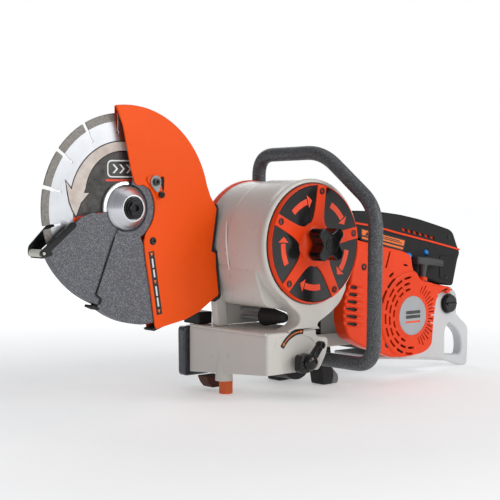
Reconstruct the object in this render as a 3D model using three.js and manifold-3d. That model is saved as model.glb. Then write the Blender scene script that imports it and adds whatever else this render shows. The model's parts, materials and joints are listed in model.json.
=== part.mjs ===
// Hand-held concrete cut-off saw: a guarded diamond blade on a belt-driven arm, a suction drum with a
// turning filter, a dust bin with a dump valve, and a two-stroke power head with a rear grip.
// Millimetres. +X points to the rear grip, -Y to the operator's left and +Z up.
// Everything is laid out about the blade's arbor, and ORIGIN_SHIFT stands the finished saw on z = 0.
import * as THREE from "three";
import Module from "manifold-3d";
import { mergeVertices } from "three/addons/utils/BufferGeometryUtils.js";

// ---- driving dimensions ----
const GAP = 0.3;
const GROUND_Z = -319;
const ORIGIN_SHIFT = [-311.4, 81.3, 319];

const BLADE = { radius: 152.4, core: 140, slotRoot: 123, segments: 15, rimGap: 6, slotWidth: 2.2 };
const BLADE_HALF = { core: 1.2, segment: 1.6 };
const BORE_RADIUS = 12.7;
const ARBOR = { x: 0, z: 0, pulley: 44 };
const CRANK = { x: 531, z: -198, pulley: 26 };
const DRUM = { x: 284, z: -61, pulley: 18, outer: 106.2, inner: 100, lip: 108.6, near: -142, far: 14 };
const FILTER_FACE = { bore: 8.4, panel: 91.7, rim: 100.7, spokes: 5, firstSpoke: 10 };
const KNOB = { near: -190, far: -162, radius: 26.5, swing: 7, lobes: 4, stem: 8 };
const DRUM_FIT = 110.5;

const FIXED_GUARD = { near: -16, far: 11.4, wall: 2, radius: 165 };
const MIDDLE_GUARD = { near: -12.8, far: 8.4, wall: 1.4, radius: 165.6 };
const FRONT_GUARD = { near: -10.4, far: 6, wall: 1.4, radius: 162.6 };
const HUB_RING = { inner: 38.6, outer: 53, openRadius: 60, openFar: -3 };
const GUARD_SCALLOP = 52;
const ROLLER = { x: -157.2, z: -67.2, radius: 6, pin: 2.5, near: -10.4, far: 20 };
const ROLLER_ARM = { near: -16.6, far: 20.3, thickness: 3.5 };
const LATCH = { x: 51, z: 42 };
const LATCH_PIN = { x: 62, z: 21 };
const DUCT = { x: [160, 200], y: [-9.3, 5.3], z: [-70.3, -51.7] };

const ARM = { near: 42, far: 72, wall: 3, clearance: 9, cover: 5 };
const BELT = { near: 50, far: 66, thickness: 4 };
const BEARING = { outer: 27.5, inner: 15, width: 28, near: 14 };

const STARTER = { near: -140, far: -111, wall: 3 };
const TOP_COVER = { near: -112, far: 22, wall: 3 };
const TANK = { near: -100, far: 12, wall: 4 };
const GRIP = { near: -62, far: -40 };
const TRIGGER = { near: -57.5, far: -44.5, space: 1.5 };
const BIN = { front: 183, near: -142, far: 65, top: -205.3, wall: 3.5 };
const BIN_PORT = { low: 262, high: 290, near: -136, far: -118 };
const DUMP = { x: 259, z: -256, radius: 32, near: -134, far: -62, shaft: 8 };
const FRONT_FOOT = { x: 199, y: -18, radius: 11.5, spigot: 9 };
const BOOT = { x: 253, z: -186 };

const HANDLE = { x: 340, far: 58, radius: 12.3, bend: 38 };
const CHASSIS = { top: -245.5, bottom: -250.5 };
const FOOT_HALF_WIDTH = 17;
const CYLINDER = { bore: 27, fin: 41, base: 58, top: 108, fins: 6, finPitch: 7.5, y: -24 };
const CRANKCASE_BORE = 12.6;
const STARTER_GRIP = { x: 590, y: -124, z: -101 };
const DECOMPRESSION = { x: 540.5, z: -91.5 };
const PRIMER = { x: 602, z: -88 };
const STOP = { x: 641, z: -161 };
const CHOKE = { x: 664, z: -161 };
const CAP = { x: 678, z: -188 };
const HEAD_TILT = THREE.MathUtils.degToRad(11.5);

// ---- solids ----
const wasm = await Module();
wasm.setup();

function manifoldOf(vertProperties, triVerts) {
  return new wasm.Manifold(new wasm.Mesh({ numProp: 3, vertProperties, triVerts }));
}

// A closed geometry as a solid, with its faces turned outwards.
function toSolid(geometry) {
  const bare = geometry.clone();
  bare.deleteAttribute("normal");
  bare.deleteAttribute("uv");
  const merged = mergeVertices(bare, 1e-3);
  const vertices = merged.attributes.position.array;
  const triangles = new Uint32Array(merged.index.array);
  const solid = manifoldOf(vertices, triangles);
  return solid.volume() < 0 ? manifoldOf(vertices, triangles.reverse()) : solid;
}

function toGeometry(solid) {
  const { numProp, numVert, vertProperties, triVerts } = solid.getMesh();
  const positions = new Float32Array(numVert * 3);
  for (let i = 0; i < numVert; i++) {
    positions.set(vertProperties.subarray(i * numProp, i * numProp + 3), i * 3);
  }
  const geometry = new THREE.BufferGeometry();
  geometry.setAttribute("position", new THREE.BufferAttribute(positions, 3));
  geometry.setIndex(new THREE.BufferAttribute(triVerts, 1));
  const faceted = geometry.toNonIndexed();
  faceted.computeVertexNormals();
  return faceted;
}

function joined(...solids) {
  return solids.reduce((whole, piece) => whole.add(piece));
}

function cut(solid, ...tools) {
  return tools.reduce((rest, tool) => rest.subtract(tool), solid);
}

// ---- outlines in the XZ plane ----
function arc(cx, cz, radius, fromDegrees, toDegrees, steps) {
  return Array.from({ length: steps + 1 }, (_, i) => {
    const angle = THREE.MathUtils.degToRad(fromDegrees + ((toDegrees - fromDegrees) * i) / steps);
    return [cx + radius * Math.cos(angle), cz + radius * Math.sin(angle)];
  });
}

function polar(radius, degrees) {
  return arc(0, 0, radius, degrees, degrees, 1)[0];
}

// The outline with each corner rounded by up to the given radius.
function rounded(points, radius, steps = 3) {
  return points.flatMap((corner, i) => {
    const at = new THREE.Vector2(...corner);
    const before = new THREE.Vector2(...points[(i + points.length - 1) % points.length]);
    const after = new THREE.Vector2(...points[(i + 1) % points.length]);
    const reach = Math.min(radius, before.distanceTo(at) / 2.1, after.distanceTo(at) / 2.1);
    const start = at.clone().lerp(before, reach / at.distanceTo(before));
    const end = at.clone().lerp(after, reach / at.distanceTo(after));
    const bend = new THREE.QuadraticBezierCurve(start, at, end);
    return bend.getPoints(steps).map((point) => [point.x, point.y]);
  });
}

// The convex outline around circles { x, z, radius }, like a belt around its pulleys.
function hull(circles, steps = 32) {
  const points = circles.flatMap(({ x, z, radius }) => arc(x, z, radius, 0, 360, steps).slice(1));
  points.sort((a, b) => a[0] - b[0] || a[1] - b[1]);
  const turn = (o, a, b) => (a[0] - o[0]) * (b[1] - o[1]) - (a[1] - o[1]) * (b[0] - o[0]);
  const chain = (ordered) => {
    const kept = [];
    for (const point of ordered) {
      while (kept.length > 1 && turn(kept.at(-2), kept.at(-1), point) <= 1e-6) {
        kept.pop();
      }
      kept.push(point);
    }
    return kept.slice(0, -1);
  };
  return [...chain(points), ...chain(points.toReversed())];
}

// ---- basic solids ----
function slab(outline, low, high) {
  const shape = new THREE.Shape(outline.map(([x, z]) => new THREE.Vector2(x, z)));
  const geometry = new THREE.ExtrudeGeometry(shape, { depth: high - low, bevelEnabled: false });
  geometry.rotateX(Math.PI / 2);
  geometry.translate(0, high, 0);
  return toSolid(geometry);
}

// A YZ outline extruded along X.
function slabAlongX(outline, low, high) {
  const shape = new THREE.Shape(outline.map(([y, z]) => new THREE.Vector2(y, z)));
  const geometry = new THREE.ExtrudeGeometry(shape, { depth: high - low, bevelEnabled: false });
  geometry.rotateX(Math.PI / 2);
  geometry.rotateZ(Math.PI / 2);
  geometry.translate(low, 0, 0);
  return toSolid(geometry);
}

// A solid turned about an axis parallel to Y through (x, z). The profile is [radius, y] points.
function turned(profile, { x, z }, segments = 24) {
  const points = profile.map(([radius, y]) => new THREE.Vector2(radius, y));
  if (profile[0][0] > 0) {
    points.push(points[0].clone());
  }
  const geometry = new THREE.LatheGeometry(points, segments);
  geometry.translate(x, 0, z);
  return toSolid(geometry);
}

function disc(radius, low, high, centre, segments = 24) {
  return turned([[0, low], [radius, low], [radius, high], [0, high]], centre, segments);
}

function ring(inner, outer, low, high, centre, segments = 24) {
  return turned([[inner, low], [outer, low], [outer, high], [inner, high]], centre, segments);
}

function rod(from, to, radius, endRadius = radius, segments = 16) {
  const start = new THREE.Vector3(...from);
  const span = new THREE.Vector3(...to).sub(start);
  const geometry = new THREE.CylinderGeometry(endRadius, radius, span.length(), segments);
  const up = new THREE.Vector3(0, 1, 0);
  geometry.applyQuaternion(new THREE.Quaternion().setFromUnitVectors(up, span.clone().normalize()));
  const middle = start.addScaledVector(span, 0.5);
  geometry.translate(middle.x, middle.y, middle.z);
  return toSolid(geometry);
}

function block([x0, x1], [y0, y1], [z0, z1]) {
  const geometry = new THREE.BoxGeometry(x1 - x0, y1 - y0, z1 - z0);
  geometry.translate((x0 + x1) / 2, (y0 + y1) / 2, (z0 + z1) / 2);
  return toSolid(geometry);
}

// A tube along points, with a circular bend at each inner point.
function tube(points, radius, bend, sides = 12) {
  const at = points.map((point) => new THREE.Vector3(...point));
  const path = new THREE.CurvePath();
  let start = at[0];
  for (let i = 1; i < at.length - 1; i++) {
    const entry = at[i].clone().lerp(at[i - 1], bend / at[i].distanceTo(at[i - 1]));
    const exit = at[i].clone().lerp(at[i + 1], bend / at[i].distanceTo(at[i + 1]));
    path.add(new THREE.LineCurve3(start, entry));
    path.add(new THREE.QuadraticBezierCurve3(entry, at[i], exit));
    start = exit;
  }
  path.add(new THREE.LineCurve3(start, at.at(-1)));
  const rim = arc(0, 0, radius, 0, 360, sides).slice(1);
  const section = new THREE.Shape(rim.map((point) => new THREE.Vector2(...point)));
  const options = { steps: 8 * (at.length - 1), extrudePath: path, bevelEnabled: false };
  return toSolid(new THREE.ExtrudeGeometry(section, options));
}

// A solid laid out about the crank centre, leaning back with the power head.
function leaning(solid) {
  const lean = new THREE.Matrix4().makeRotationY(HEAD_TILT);
  lean.setPosition(CRANK.x, 0, CRANK.z);
  return solid.transform(lean.toArray());
}

// ---- materials ----
function finish(color, roughness, metalness = 0) {
  return new THREE.MeshStandardMaterial({ color, roughness, metalness });
}

const STEEL = finish(0xb9bcc0, 0.32, 1);
const DARK_STEEL = finish(0x3a3b3d, 0.45, 0.9);
const ALUMINIUM = finish(0xc6c9cc, 0.36, 1);
const CAST = finish(0x8b8d8f, 0.6, 0.8);
const ORANGE_PAINT = finish(0xf15a22, 0.4);
const ORANGE_PLASTIC = finish(0xf04a26, 0.42);
const HAMMER_GREY = finish(0x75777b, 0.55, 0.3);
const WHITE_PLASTIC = finish(0xcfcfca, 0.42);
const BLACK_PLASTIC = finish(0x222325, 0.5);
const RUBBER = finish(0x1b1c1d, 0.8);
const CREAM_NYLON = finish(0xd8d8cc, 0.45);
const BLUE_PLASTIC = finish(0x1f86d6, 0.35);
const FILTER_PAPER = finish(0xe3ddca, 0.9);
const ORANGE_RUBBER = finish(0xd65c23, 0.5);

const saw = new THREE.Group();

function add(name, solid, material) {
  const mesh = new THREE.Mesh(toGeometry(solid), material);
  mesh.name = name;
  saw.add(mesh);
}

// ---- blade and its spindle ----
function diamondBlade() {
  const pitch = 360 / BLADE.segments;
  const rimHalf = THREE.MathUtils.radToDeg(BLADE.rimGap / 2 / BLADE.radius);
  const coreHalf = THREE.MathUtils.radToDeg(BLADE.rimGap / 2 / BLADE.core);
  const rootHalf = THREE.MathUtils.radToDeg(BLADE.slotWidth / 2 / BLADE.slotRoot);
  const coreOutline = [];
  const segments = [];
  for (let i = 0; i < BLADE.segments; i++) {
    const start = 95 + i * pitch;
    coreOutline.push(polar(BLADE.slotRoot, start - rootHalf));
    coreOutline.push(polar(BLADE.slotRoot, start + rootHalf));
    coreOutline.push(...arc(0, 0, BLADE.core, start + coreHalf, start + pitch - coreHalf, 3));
    const rim = arc(0, 0, BLADE.radius, start + rimHalf, start + pitch - rimHalf, 3);
    const foot = arc(0, 0, BLADE.core - 1, start + pitch - coreHalf, start + coreHalf, 3);
    segments.push(slab([...rim, ...foot], -BLADE_HALF.segment, BLADE_HALF.segment));
  }
  const core = slab(coreOutline, -BLADE_HALF.core, BLADE_HALF.core);
  return cut(joined(core, ...segments), disc(BORE_RADIUS, -5, 5, ARBOR, 24));
}

function bladeAssembly() {
  const near = -BLADE_HALF.core - GAP;
  const cone = [[37.4, near], [37.4, -8], [34.4, -14], [24, -30]];
  const outerFlange = [[13, near], ...cone, [18.6, -30], [18.6, -26], [13, -26]];
  const innerFlange = [[13, -near], [35.5, -near], [35.5, 6], [22, 9], [13, 9]];
  const spindleNose = [[0, 70], [0, -2], [8, -2], [8, -22], [12.4, -22], [12.4, 9.3]];
  const spindle = [...spindleNose, [14.7, 9.3], [14.7, 70], [0, 70]];
  add("diamond_blade", diamondBlade(), STEEL);
  add("outer_flange", turned(outerFlange, ARBOR), ALUMINIUM);
  add("inner_flange", turned(innerFlange, ARBOR), ALUMINIUM);
  add("spindle", turned(spindle, ARBOR), STEEL);
  add("arbor_washer", ring(8, 17.8, -30.4, -26.3, ARBOR), DARK_STEEL);
  const head = disc(13.8, -44, -30.7, ARBOR, 6);
  const socket = disc(5.5, -46, -38, ARBOR, 6);
  add("arbor_bolt", cut(joined(head, disc(7.7, -31, -4, ARBOR, 16)), socket), DARK_STEEL);
}

// ---- guard ----
// A hollow segment around the arbor. Its near hub ring is open between the two given angles.
function segmentShell(outline, { near, far, wall }, cavity, [openFrom, openTo]) {
  const shell = joined(slab(outline, near, far), disc(HUB_RING.outer, near, far, ARBOR));
  const bore = disc(HUB_RING.inner, near - 1, far + 1, ARBOR);
  const wedge = [[0, 0], ...arc(0, 0, HUB_RING.openRadius, openFrom, openTo, 8)];
  return cut(shell, slab(cavity, near + wall, far - wall), slab(wedge, near - 1, HUB_RING.openFar), bore);
}

function guardSegments() {
  const front = [[0, 0], ...arc(0, 0, FRONT_GUARD.radius, -93, -155, 12)];
  front.push([-98, -22], [-86, -13], [-69, -7], [-55, -6], [-44, -9]);
  const frontCavity = arc(0, 0, FRONT_GUARD.radius - FRONT_GUARD.wall, 0, 360, 48).slice(1);
  add("guard_segment_front", segmentShell(front, FRONT_GUARD, frontCavity, [62, 188]), HAMMER_GREY);

  const edge = [[-26, -49], [-60, -134], ...arc(-58, -145, 6, 70, -80, 4)];
  const sweep = [[-111, 0], [-102, 8.5], [-92, 17.5], [-82, 25.5], [-74, 29], [-68, 27], [-62, 19]];
  const rim = (inset) => sweep.map(([angle, growth]) => polar(MIDDLE_GUARD.radius + growth - inset, angle));
  const middle = [[0, 0], ...edge, ...rim(0)];
  const wall = MIDDLE_GUARD.wall;
  const corner = polar(MIDDLE_GUARD.radius - wall, -125);
  const middleCavity = [[60, 60], [-70, 60], corner, ...rim(wall), [150, -150]];
  add("guard_segment_middle", segmentShell(middle, MIDDLE_GUARD, middleCavity, [78, 241]), HAMMER_GREY);
  const strip = [polar(166.2, -114), polar(169.5, -114), polar(170, -110.8), polar(166.8, -110.8)];
  add("guard_wiper_strip", slab(strip, MIDDLE_GUARD.near - 0.6, MIDDLE_GUARD.far + 0.6), RUBBER);
}

function rollerBracket() {
  const { near, far, thickness } = ROLLER_ARM;
  const guardFace = FRONT_GUARD.near - GAP;
  const armRoot = { x: -104, z: -25, radius: 5.4 };
  const nearArm = slab(hull([armRoot, { ...ROLLER, radius: 5.2 }], 16), near, guardFace);
  const farOutline = [[-119, -21], [-126, -22], [-162, -57], [-163, -70], [-156, -75], [-108, -38]];
  const farArm = slab(rounded(farOutline, 4), far, far + thickness);
  const panel = slab([[-139, -70], [-144, -62], [-160, -64], [-158, -75]], near + 1, far + thickness);
  const pinHoles = disc(ROLLER.pin + GAP, near - 1, far + thickness + 1, ROLLER, 12);
  const rollerSpace = disc(ROLLER.radius + 1, guardFace, far, ROLLER, 16);
  const clearance = disc(FRONT_GUARD.radius + 0.8, guardFace, FRONT_GUARD.far + 1, ARBOR, 48);
  add("roller_bracket", cut(joined(nearArm, farArm, panel), clearance, rollerSpace, pinHoles), BLACK_PLASTIC);
  const barrel = disc(ROLLER.radius, ROLLER.near, ROLLER.far, ROLLER, 16);
  const pin = disc(ROLLER.pin, near, far + thickness, ROLLER, 12);
  add("guide_roller", joined(barrel, pin), CREAM_NYLON);
}

function fixedGuard() {
  const { near, far, wall, radius } = FIXED_GUARD;
  const rear = [[169, 19], [182, -3], [170.5, -74], [179.5, -77], [180, -103], [186, -150]];
  const bottom = [[173, -157], [143, -176], [114, -187], [76, -194], [53, -199]];
  const front = [[51, -192], [42, -132], [33, -82], [30, -54], [33, -43], [39, -34]];
  const scallop = arc(0, 0, GUARD_SCALLOP, -38, 36, 10);
  const nose = [...arc(22, 48, 12, -60, -150, 4), [5, 62], [-2, 96], [-10, 132], [-23, 162]];
  const outline = [...arc(0, 0, radius, 98, 13, 20), ...rear, ...bottom, ...front, ...scallop, ...nose];
  const rearInside = [[167, 17], [179.8, -4], [168.2, -76], [177.2, -79], [177.9, -104], [183.7, -148.5]];
  const bottomInside = [[171, -155], [142, -174], [113, -185], [75.5, -192], [49, -197]];
  const cavityRim = arc(0, 0, radius - wall, 105, 14, 20);
  const cavity = [...cavityRim, ...rearInside, ...bottomInside, [-70, -197], [-70, 160]];
  const slot = hull([{ x: 67, z: 47, radius: 4 }, { x: 66, z: 30, radius: 4 }], 12);
  const latchSlot = slab(slot, near - 1, near + wall + 1);
  const latchHole = disc(4.3, near - 1, near + wall + 1, LATCH, 12);
  const farBore = disc(33, far - wall - 1, far + 1, ARBOR);
  const shell = cut(slab(outline, near, far), slab(cavity, near + wall, far - wall));
  const openings = [latchSlot, block(DUCT.x, DUCT.y, DUCT.z), latchHole, farBore];
  add("guard_shell", cut(shell, ...openings), ORANGE_PAINT);

  const upperTrim = [[182.4, -3], [185, -3], [177.6, -46], [175.4, -46]];
  const lowerTrim = [[180.5, -105], [183, -105], [188.8, -150], [186.4, -150]];
  add("guard_trim_upper", slab(upperTrim, near, far), RUBBER);
  add("guard_trim_lower", slab(lowerTrim, near, far), RUBBER);

}

function latch() {
  const { near, wall } = FIXED_GUARD;
  const lever = hull([{ ...LATCH, radius: 9 }, { ...LATCH_PIN, radius: 5 }, { x: 40, z: 46, radius: 5 }], 16);
  const pin = disc(5, near - 7, near - GAP, LATCH_PIN, 12);
  const latchPlate = cut(slab(lever, near - 2.8, near - GAP), disc(4.3, near - 4, near, LATCH, 12));
  add("latch_lever", joined(latchPlate, pin), ORANGE_PAINT);
  const head = disc(10.6, near - 6, near - 3.1, LATCH, 20);
  const shank = disc(4, near - 5, near + wall, LATCH, 12);
  const socketHead = disc(6, near - 9, near - 5, LATCH, 6);
  const socket = disc(2.6, near - 10, near - 7, LATCH, 6);
  add("latch_bolt", cut(joined(head, shank, socketHead), socket), DARK_STEEL);
}

// ---- drive arm ----
function beltCircles(offset) {
  return [ARBOR, CRANK, DRUM].map(({ x, z, pulley }) => ({ x, z, radius: pulley + offset }));
}

function grooved(radius, bore, centre) {
  const { near, far } = BELT;
  const faces = [[bore, near - 2], [radius + 3, near - 2], [radius + 3, near - 0.4], [radius, near - 0.4]];
  const back = [[radius, far + 0.4], [radius + 3, far + 0.4], [radius + 3, far + 2], [bore, far + 2]];
  return turned([...faces, ...back], centre);
}

function driveArm() {
  const { near, far, wall, clearance, cover } = ARM;
  const inner = hull(beltCircles(clearance));
  const outer = hull(beltCircles(clearance + wall));
  const tray = cut(slab(outer, near, far), slab(inner, near + wall, far + 1));
  const flangePad = disc(46, FIXED_GUARD.far + GAP, 16, ARBOR);
  const boss = disc(31.5, FIXED_GUARD.far + GAP, near + 1, ARBOR);
  const bearingBore = disc(BEARING.outer + GAP, FIXED_GUARD.far, near + wall + 1, ARBOR);
  const crankBore = disc(17, near - 1, near + wall + 1, CRANK);
  const fanBore = disc(10, near - 1, near + wall + 1, DRUM);
  const stem = rod([HANDLE.x, HANDLE.far, -44], [HANDLE.x, HANDLE.far, -84], 13);
  const trayWithStem = joined(tray, cut(stem, slab(inner, near + wall, far + 1)));
  add("drive_arm", cut(joined(trayWithStem, flangePad, boss), bearingBore, crankBore, fanBore), CAST);
  add("belt_cover", slab(outer, far + GAP, far + GAP + cover), BLACK_PLASTIC);

  const { outer: race, inner: shaft, width, near: start } = BEARING;
  add("spindle_bearing", ring(shaft, race, start, start + width, ARBOR), STEEL);
  add("spindle_pulley", grooved(ARBOR.pulley, 15, ARBOR), CAST);
  add("crank_pulley", grooved(CRANK.pulley, 12.3, CRANK), CAST);
  const belt = slab(hull(beltCircles(GAP + BELT.thickness)), BELT.near, BELT.far);
  add("drive_belt", cut(belt, slab(hull(beltCircles(GAP)), BELT.near - 1, BELT.far + 1)), RUBBER);
}

// ---- suction drum, filter and bin ----
function drumHousing() {
  const { outer, inner, lip, near, far } = DRUM;
  const seat = [[92, near], [101.5, near], [101.5, near - 3]];
  const nose = [...seat, [lip - 2, near - 3], [lip, near - 1], [lip, near + 7]];
  const barrel = [[outer, near + 14], [outer, far], [inner, far], [inner, near + 8], [92, near + 8]];
  const guardPocket = block([150, 181], [-17, 12.4], [-106, -75.5]);
  const left = [[221, -140], [247, -168], [256, -180], [256, -190], [246, -198], [232, -205]];
  const right = [[304, -205], [297, -199], [304, -192], [328, -180], [348, -165], [352, -140]];
  const neck = slab([...left, ...right], near, near + 30);
  const strut = block([190, 212], [2, far], [-205, -130]);
  const backWall = block([206, 304], [4, 12], [-205, -125]);
  const openDrum = disc(inner, near + 8, far + 1, DRUM, 40);
  const { low, high, near: portNear, far: portFar } = BIN_PORT;
  const neckPort = block([low, high], [portNear, portFar], [-206, -150]);
  const shell = joined(turned([...nose, ...barrel], DRUM, 40), neck, strut, backWall);
  return cut(shell, openDrum, neckPort, block(DUCT.x, DUCT.y, DUCT.z), guardPocket);
}

function dustBin() {
  const { front, near, far, top, wall } = BIN;
  const face = [[front, top], [296, top], [295, -212], [300, -218], [325, -222], [319, -250], [302, -275]];
  const outline = rounded([...face, [245, -292], [front, -292]], 5);
  const inside = [[front + wall, top - wall], [290, top - wall], [291, -214], [297, -221]];
  const cavity = [...inside, [320, -226], [315, -249], [299, -270], [front + wall, -270]];
  const slope = [[near - 1, -400], [far + 1, -400], [far + 1, -290], [near - 1, -273]];
  const pocket = disc(DUMP.radius + GAP, DUMP.near - GAP, DUMP.far + GAP, DUMP);
  const shaftHole = disc(DUMP.shaft + GAP, near - 1, DUMP.near, DUMP, 16);
  const port = block([BIN_PORT.low, BIN_PORT.high], [BIN_PORT.near, BIN_PORT.far], [-215, -200]);
  const hollow = slab(cavity, near + wall, far - wall);
  const ribOutline = [[front - 4, top - 8], [front + 1, top - 8], [front + 1, -284], [front - 6, -284]];
  const rib = slab(rounded(ribOutline, 2), FRONT_FOOT.y - 16, FRONT_FOOT.y + 6);
  const { x, y, spigot } = FRONT_FOOT;
  const socket = rod([x, y, -296], [x, y, -270], 14, 15, 20);
  const socketBore = rod([x, y, -297], [x, y, -276], spigot + GAP, spigot + GAP, 16);
  const shell = cut(joined(slab(outline, near, far), rib), slabAlongX(slope, 150, 350));
  return cut(joined(cut(shell, hollow), socket), pocket, shaftHole, port, socketBore);
}

function spokeCover() {
  const front = DRUM.near;
  const { bore, rim, spokes, firstSpoke } = FILTER_FACE;
  const band = ring(FILTER_FACE.panel + 0.5, rim, front - 7, front - GAP, DRUM, 40);
  const dome = [[bore, -158], [28, -157], [36, -151.5], [38, front - 4], [bore, front - 4]];
  const outline = [[30, -15], [40, -11.5], [98, -9.6], [98, 9.6], [40, 11.5], [30, 15]];
  const arms = Array.from({ length: spokes }, (_, i) => {
    const angle = THREE.MathUtils.degToRad(firstSpoke + (360 / spokes) * i);
    const along = ([reach, side]) => [
      DRUM.x + reach * Math.cos(angle) - side * Math.sin(angle),
      DRUM.z + reach * Math.sin(angle) + side * Math.cos(angle),
    ];
    return slab(outline.map(along), front - 9, front - 3.8);
  });
  return cut(joined(band, turned(dome, DRUM), ...arms), disc(bore, -170, -130, DRUM, 24));
}

function spinKnob() {
  const { near, far, radius, swing, lobes, stem } = KNOB;
  const steps = 48;
  const outline = Array.from({ length: steps }, (_, i) => {
    const angle = (i / steps) * 2 * Math.PI;
    const reach = radius - swing * Math.cos(lobes * angle);
    return [DRUM.x + reach * Math.cos(angle), DRUM.z + reach * Math.sin(angle)];
  });
  return joined(slab(outline, near, far), disc(stem, far - 1, -130, DRUM, 20));
}

function ductSleeve() {
  const outer = block([166, 188], [-9, 5], [-70, -52]);
  return cut(outer, block(DUCT.x, [-7, 3], [-68, -54]));
}

// The rotary valve in the bin's floor and the lever that turns it.
function dumpValve() {
  const { x, z, near, far, radius, shaft } = DUMP;
  const barrel = disc(radius, near, far, DUMP);
  const scoop = block([x - 22, x + 22], [near + 6, far - 6], [z + 2, z + radius + 24]);
  const shaftSeat = disc(shaft + GAP, near - 1, near + 8, DUMP, 16);
  add("dump_barrel", cut(barrel, scoop, shaftSeat), BLACK_PLASTIC);
  const tip = { x: x + 24.5, z: z + 27, radius: 6 };
  const lever = slab(hull([{ x, z, radius: 13 }, tip], 20), -169, -158);
  const hub = disc(14, -160, BIN.near - 2, DUMP);
  add("dump_lever", joined(lever, hub, disc(shaft, BIN.near - 4, near + 6, DUMP, 16)), BLACK_PLASTIC);
}

function dustSystem() {
  const { near, far, outer } = DRUM;
  add("drum_housing", drumHousing(), WHITE_PLASTIC);
  add("dust_bin", dustBin(), WHITE_PLASTIC);
  const plateStart = far + GAP;
  const dish = [[9.2, plateStart], [outer, plateStart], [105, 26], [90, 38], [60, 40], [9.2, 40]];
  const dishInside = [[9.2, 37], [59, 37], [88, 35], [100, 25], [100, 17.5], [9.2, 17.5]];
  add("drum_back_plate", turned([...dish, ...dishInside], DRUM, 40), ORANGE_PLASTIC);
  const { bore, panel } = FILTER_FACE;
  add("filter_panel", ring(bore, panel, near - 3.5, near - GAP, DRUM, 36), BLACK_PLASTIC);
  add("spoke_cover", spokeCover(), ORANGE_PLASTIC);
  add("spin_knob", spinKnob(), BLACK_PLASTIC);
  const cartridge = [[8.3, -131], [88, -131], [88, -18], [76, -18], [76, -127], [8.3, -127]];
  add("filter_cartridge", turned(cartridge, DRUM, 32), FILTER_PAPER);
  const fan = [[0, -10], [12, -10], [16, -2], [62, 4], [62, 10], [8.8, 12], [8.8, 71], [0, 71]];
  add("suction_fan", turned(fan, DRUM), CAST);
  add("fan_pulley", grooved(DRUM.pulley, 9.1, DRUM), CAST);
  add("dust_duct", ductSleeve(), RUBBER);
  dumpValve();

  const { x, y, radius, spigot } = FRONT_FOOT;
  const pad = rod([x, y, GROUND_Z], [x, y, -296.4], radius, radius, 20);
  add("front_foot", joined(pad, rod([x, y, -297], [x, y, -278], spigot)), ORANGE_RUBBER);
  const side = rounded([[173, -209], [235, -209], [235, -297], [174, -297]], 8);
  add("bin_side_plate", slab(side, BIN.far + GAP, 84), BLACK_PLASTIC);
  const boot = [[0, -111], [9, -110], [12, -105], [18.5, -62], [18.5, -58], [0, -58]];
  const pins = [BOOT.z + 8, BOOT.z - 6].map((z) => rod([BOOT.x, -59, z], [BOOT.x, 3.7, z], 4, 4, 10));
  add("isolator_boot", joined(turned(boot, BOOT, 20), ...pins), RUBBER);
}

// ---- handle, feet and chassis ----
function foot(x, y) {
  const sole = [[x - 16, GROUND_Z], [x + 20, GROUND_Z], [x + 22, GROUND_Z + 16], [x + 4, -284]];
  const top = CHASSIS.bottom - GAP;
  const outline = rounded([...sole, [x + 2, top], [x - 16, top], [x - 20, -290]], 4);
  return slab(outline, y - FOOT_HALF_WIDTH, y + FOOT_HALF_WIDTH);
}

function supports() {
  const { x, far, radius, bend } = HANDLE;
  const upper = [[x, far, -43.6], [x, far, 90], [x, -108, 93]];
  const lower = [[x, -235, 0], [x, -231, -262], [x, 36, -264]];
  add("front_handle", tube([...upper, ...lower], radius, bend), HAMMER_GREY);
  const plate = block([328, 462], [-70, 56], [CHASSIS.bottom, CHASSIS.top]);
  const saddle = block([328, 352], [-60, 30], [-262, -246]);
  const barSpace = rod([x, -100, -264], [x, 90, -264], radius + 1);
  const web = block([440, 446], [-60, 30], [-250, -150]);
  add("chassis_plate", cut(joined(plate, saddle, web), barSpace), WHITE_PLASTIC);
  add("foot_left", foot(402, -48), RUBBER);
  add("foot_right", foot(374, 38), RUBBER);
}

// ---- power head ----
function starterHousing() {
  const { near, far, wall } = STARTER;
  const top = [[390, -57], [515, -82], [534, -91], [536, -112], [554, -137], [575, -140], [643, -153]];
  const rear = [[597, -169], [590, -205], [584, -260], [561, -268], [526, -271], [484, -271]];
  const front = [[451, -259], [409, -245], [373, -227], [363, -204], [362, -178], [369, -147], [378, -134]];
  const outline = rounded([...top, ...rear, ...front], 6, 2);
  const topInside = [[393, -62], [514, -86], [530, -94], [532, -114], [552, -141], [574, -144], [598, -152]];
  const rearInside = [[592, -171], [585, -206], [580, -256], [560, -264], [485, -267]];
  const frontInside = [[453, -255], [376, -224], [367, -178], [382, -134]];
  const cavity = slab([...topInside, ...rearInside, ...frontInside], near + wall, far + 1);
  const shell = cut(slab(outline, near, far), cavity);
  const slots = [];
  for (const radius of [46, 57, 68]) {
    for (let start = 95; start < 250; start += 31) {
      const slot = [...arc(CRANK.x, CRANK.z, radius, start, start + 24, 3)];
      slot.push(...arc(CRANK.x, CRANK.z, radius + 4.5, start + 24, start, 3));
      slots.push(slab(slot, near - 1, near + wall + 1));
    }
  }
  for (let z = -160; z > -230; z -= 15) {
    slots.push(block([378, 402], [near - 1, near + wall + 1], [z, z + 5]));
  }
  const ropeHole = rod([581, STARTER_GRIP.y, -130], [577, STARTER_GRIP.y, -160], 4.5, 4.5, 12);
  return cut(shell, ...slots, ropeHole, disc(DRUM_FIT, near - 1, far + 1, DRUM, 40));
}

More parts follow.
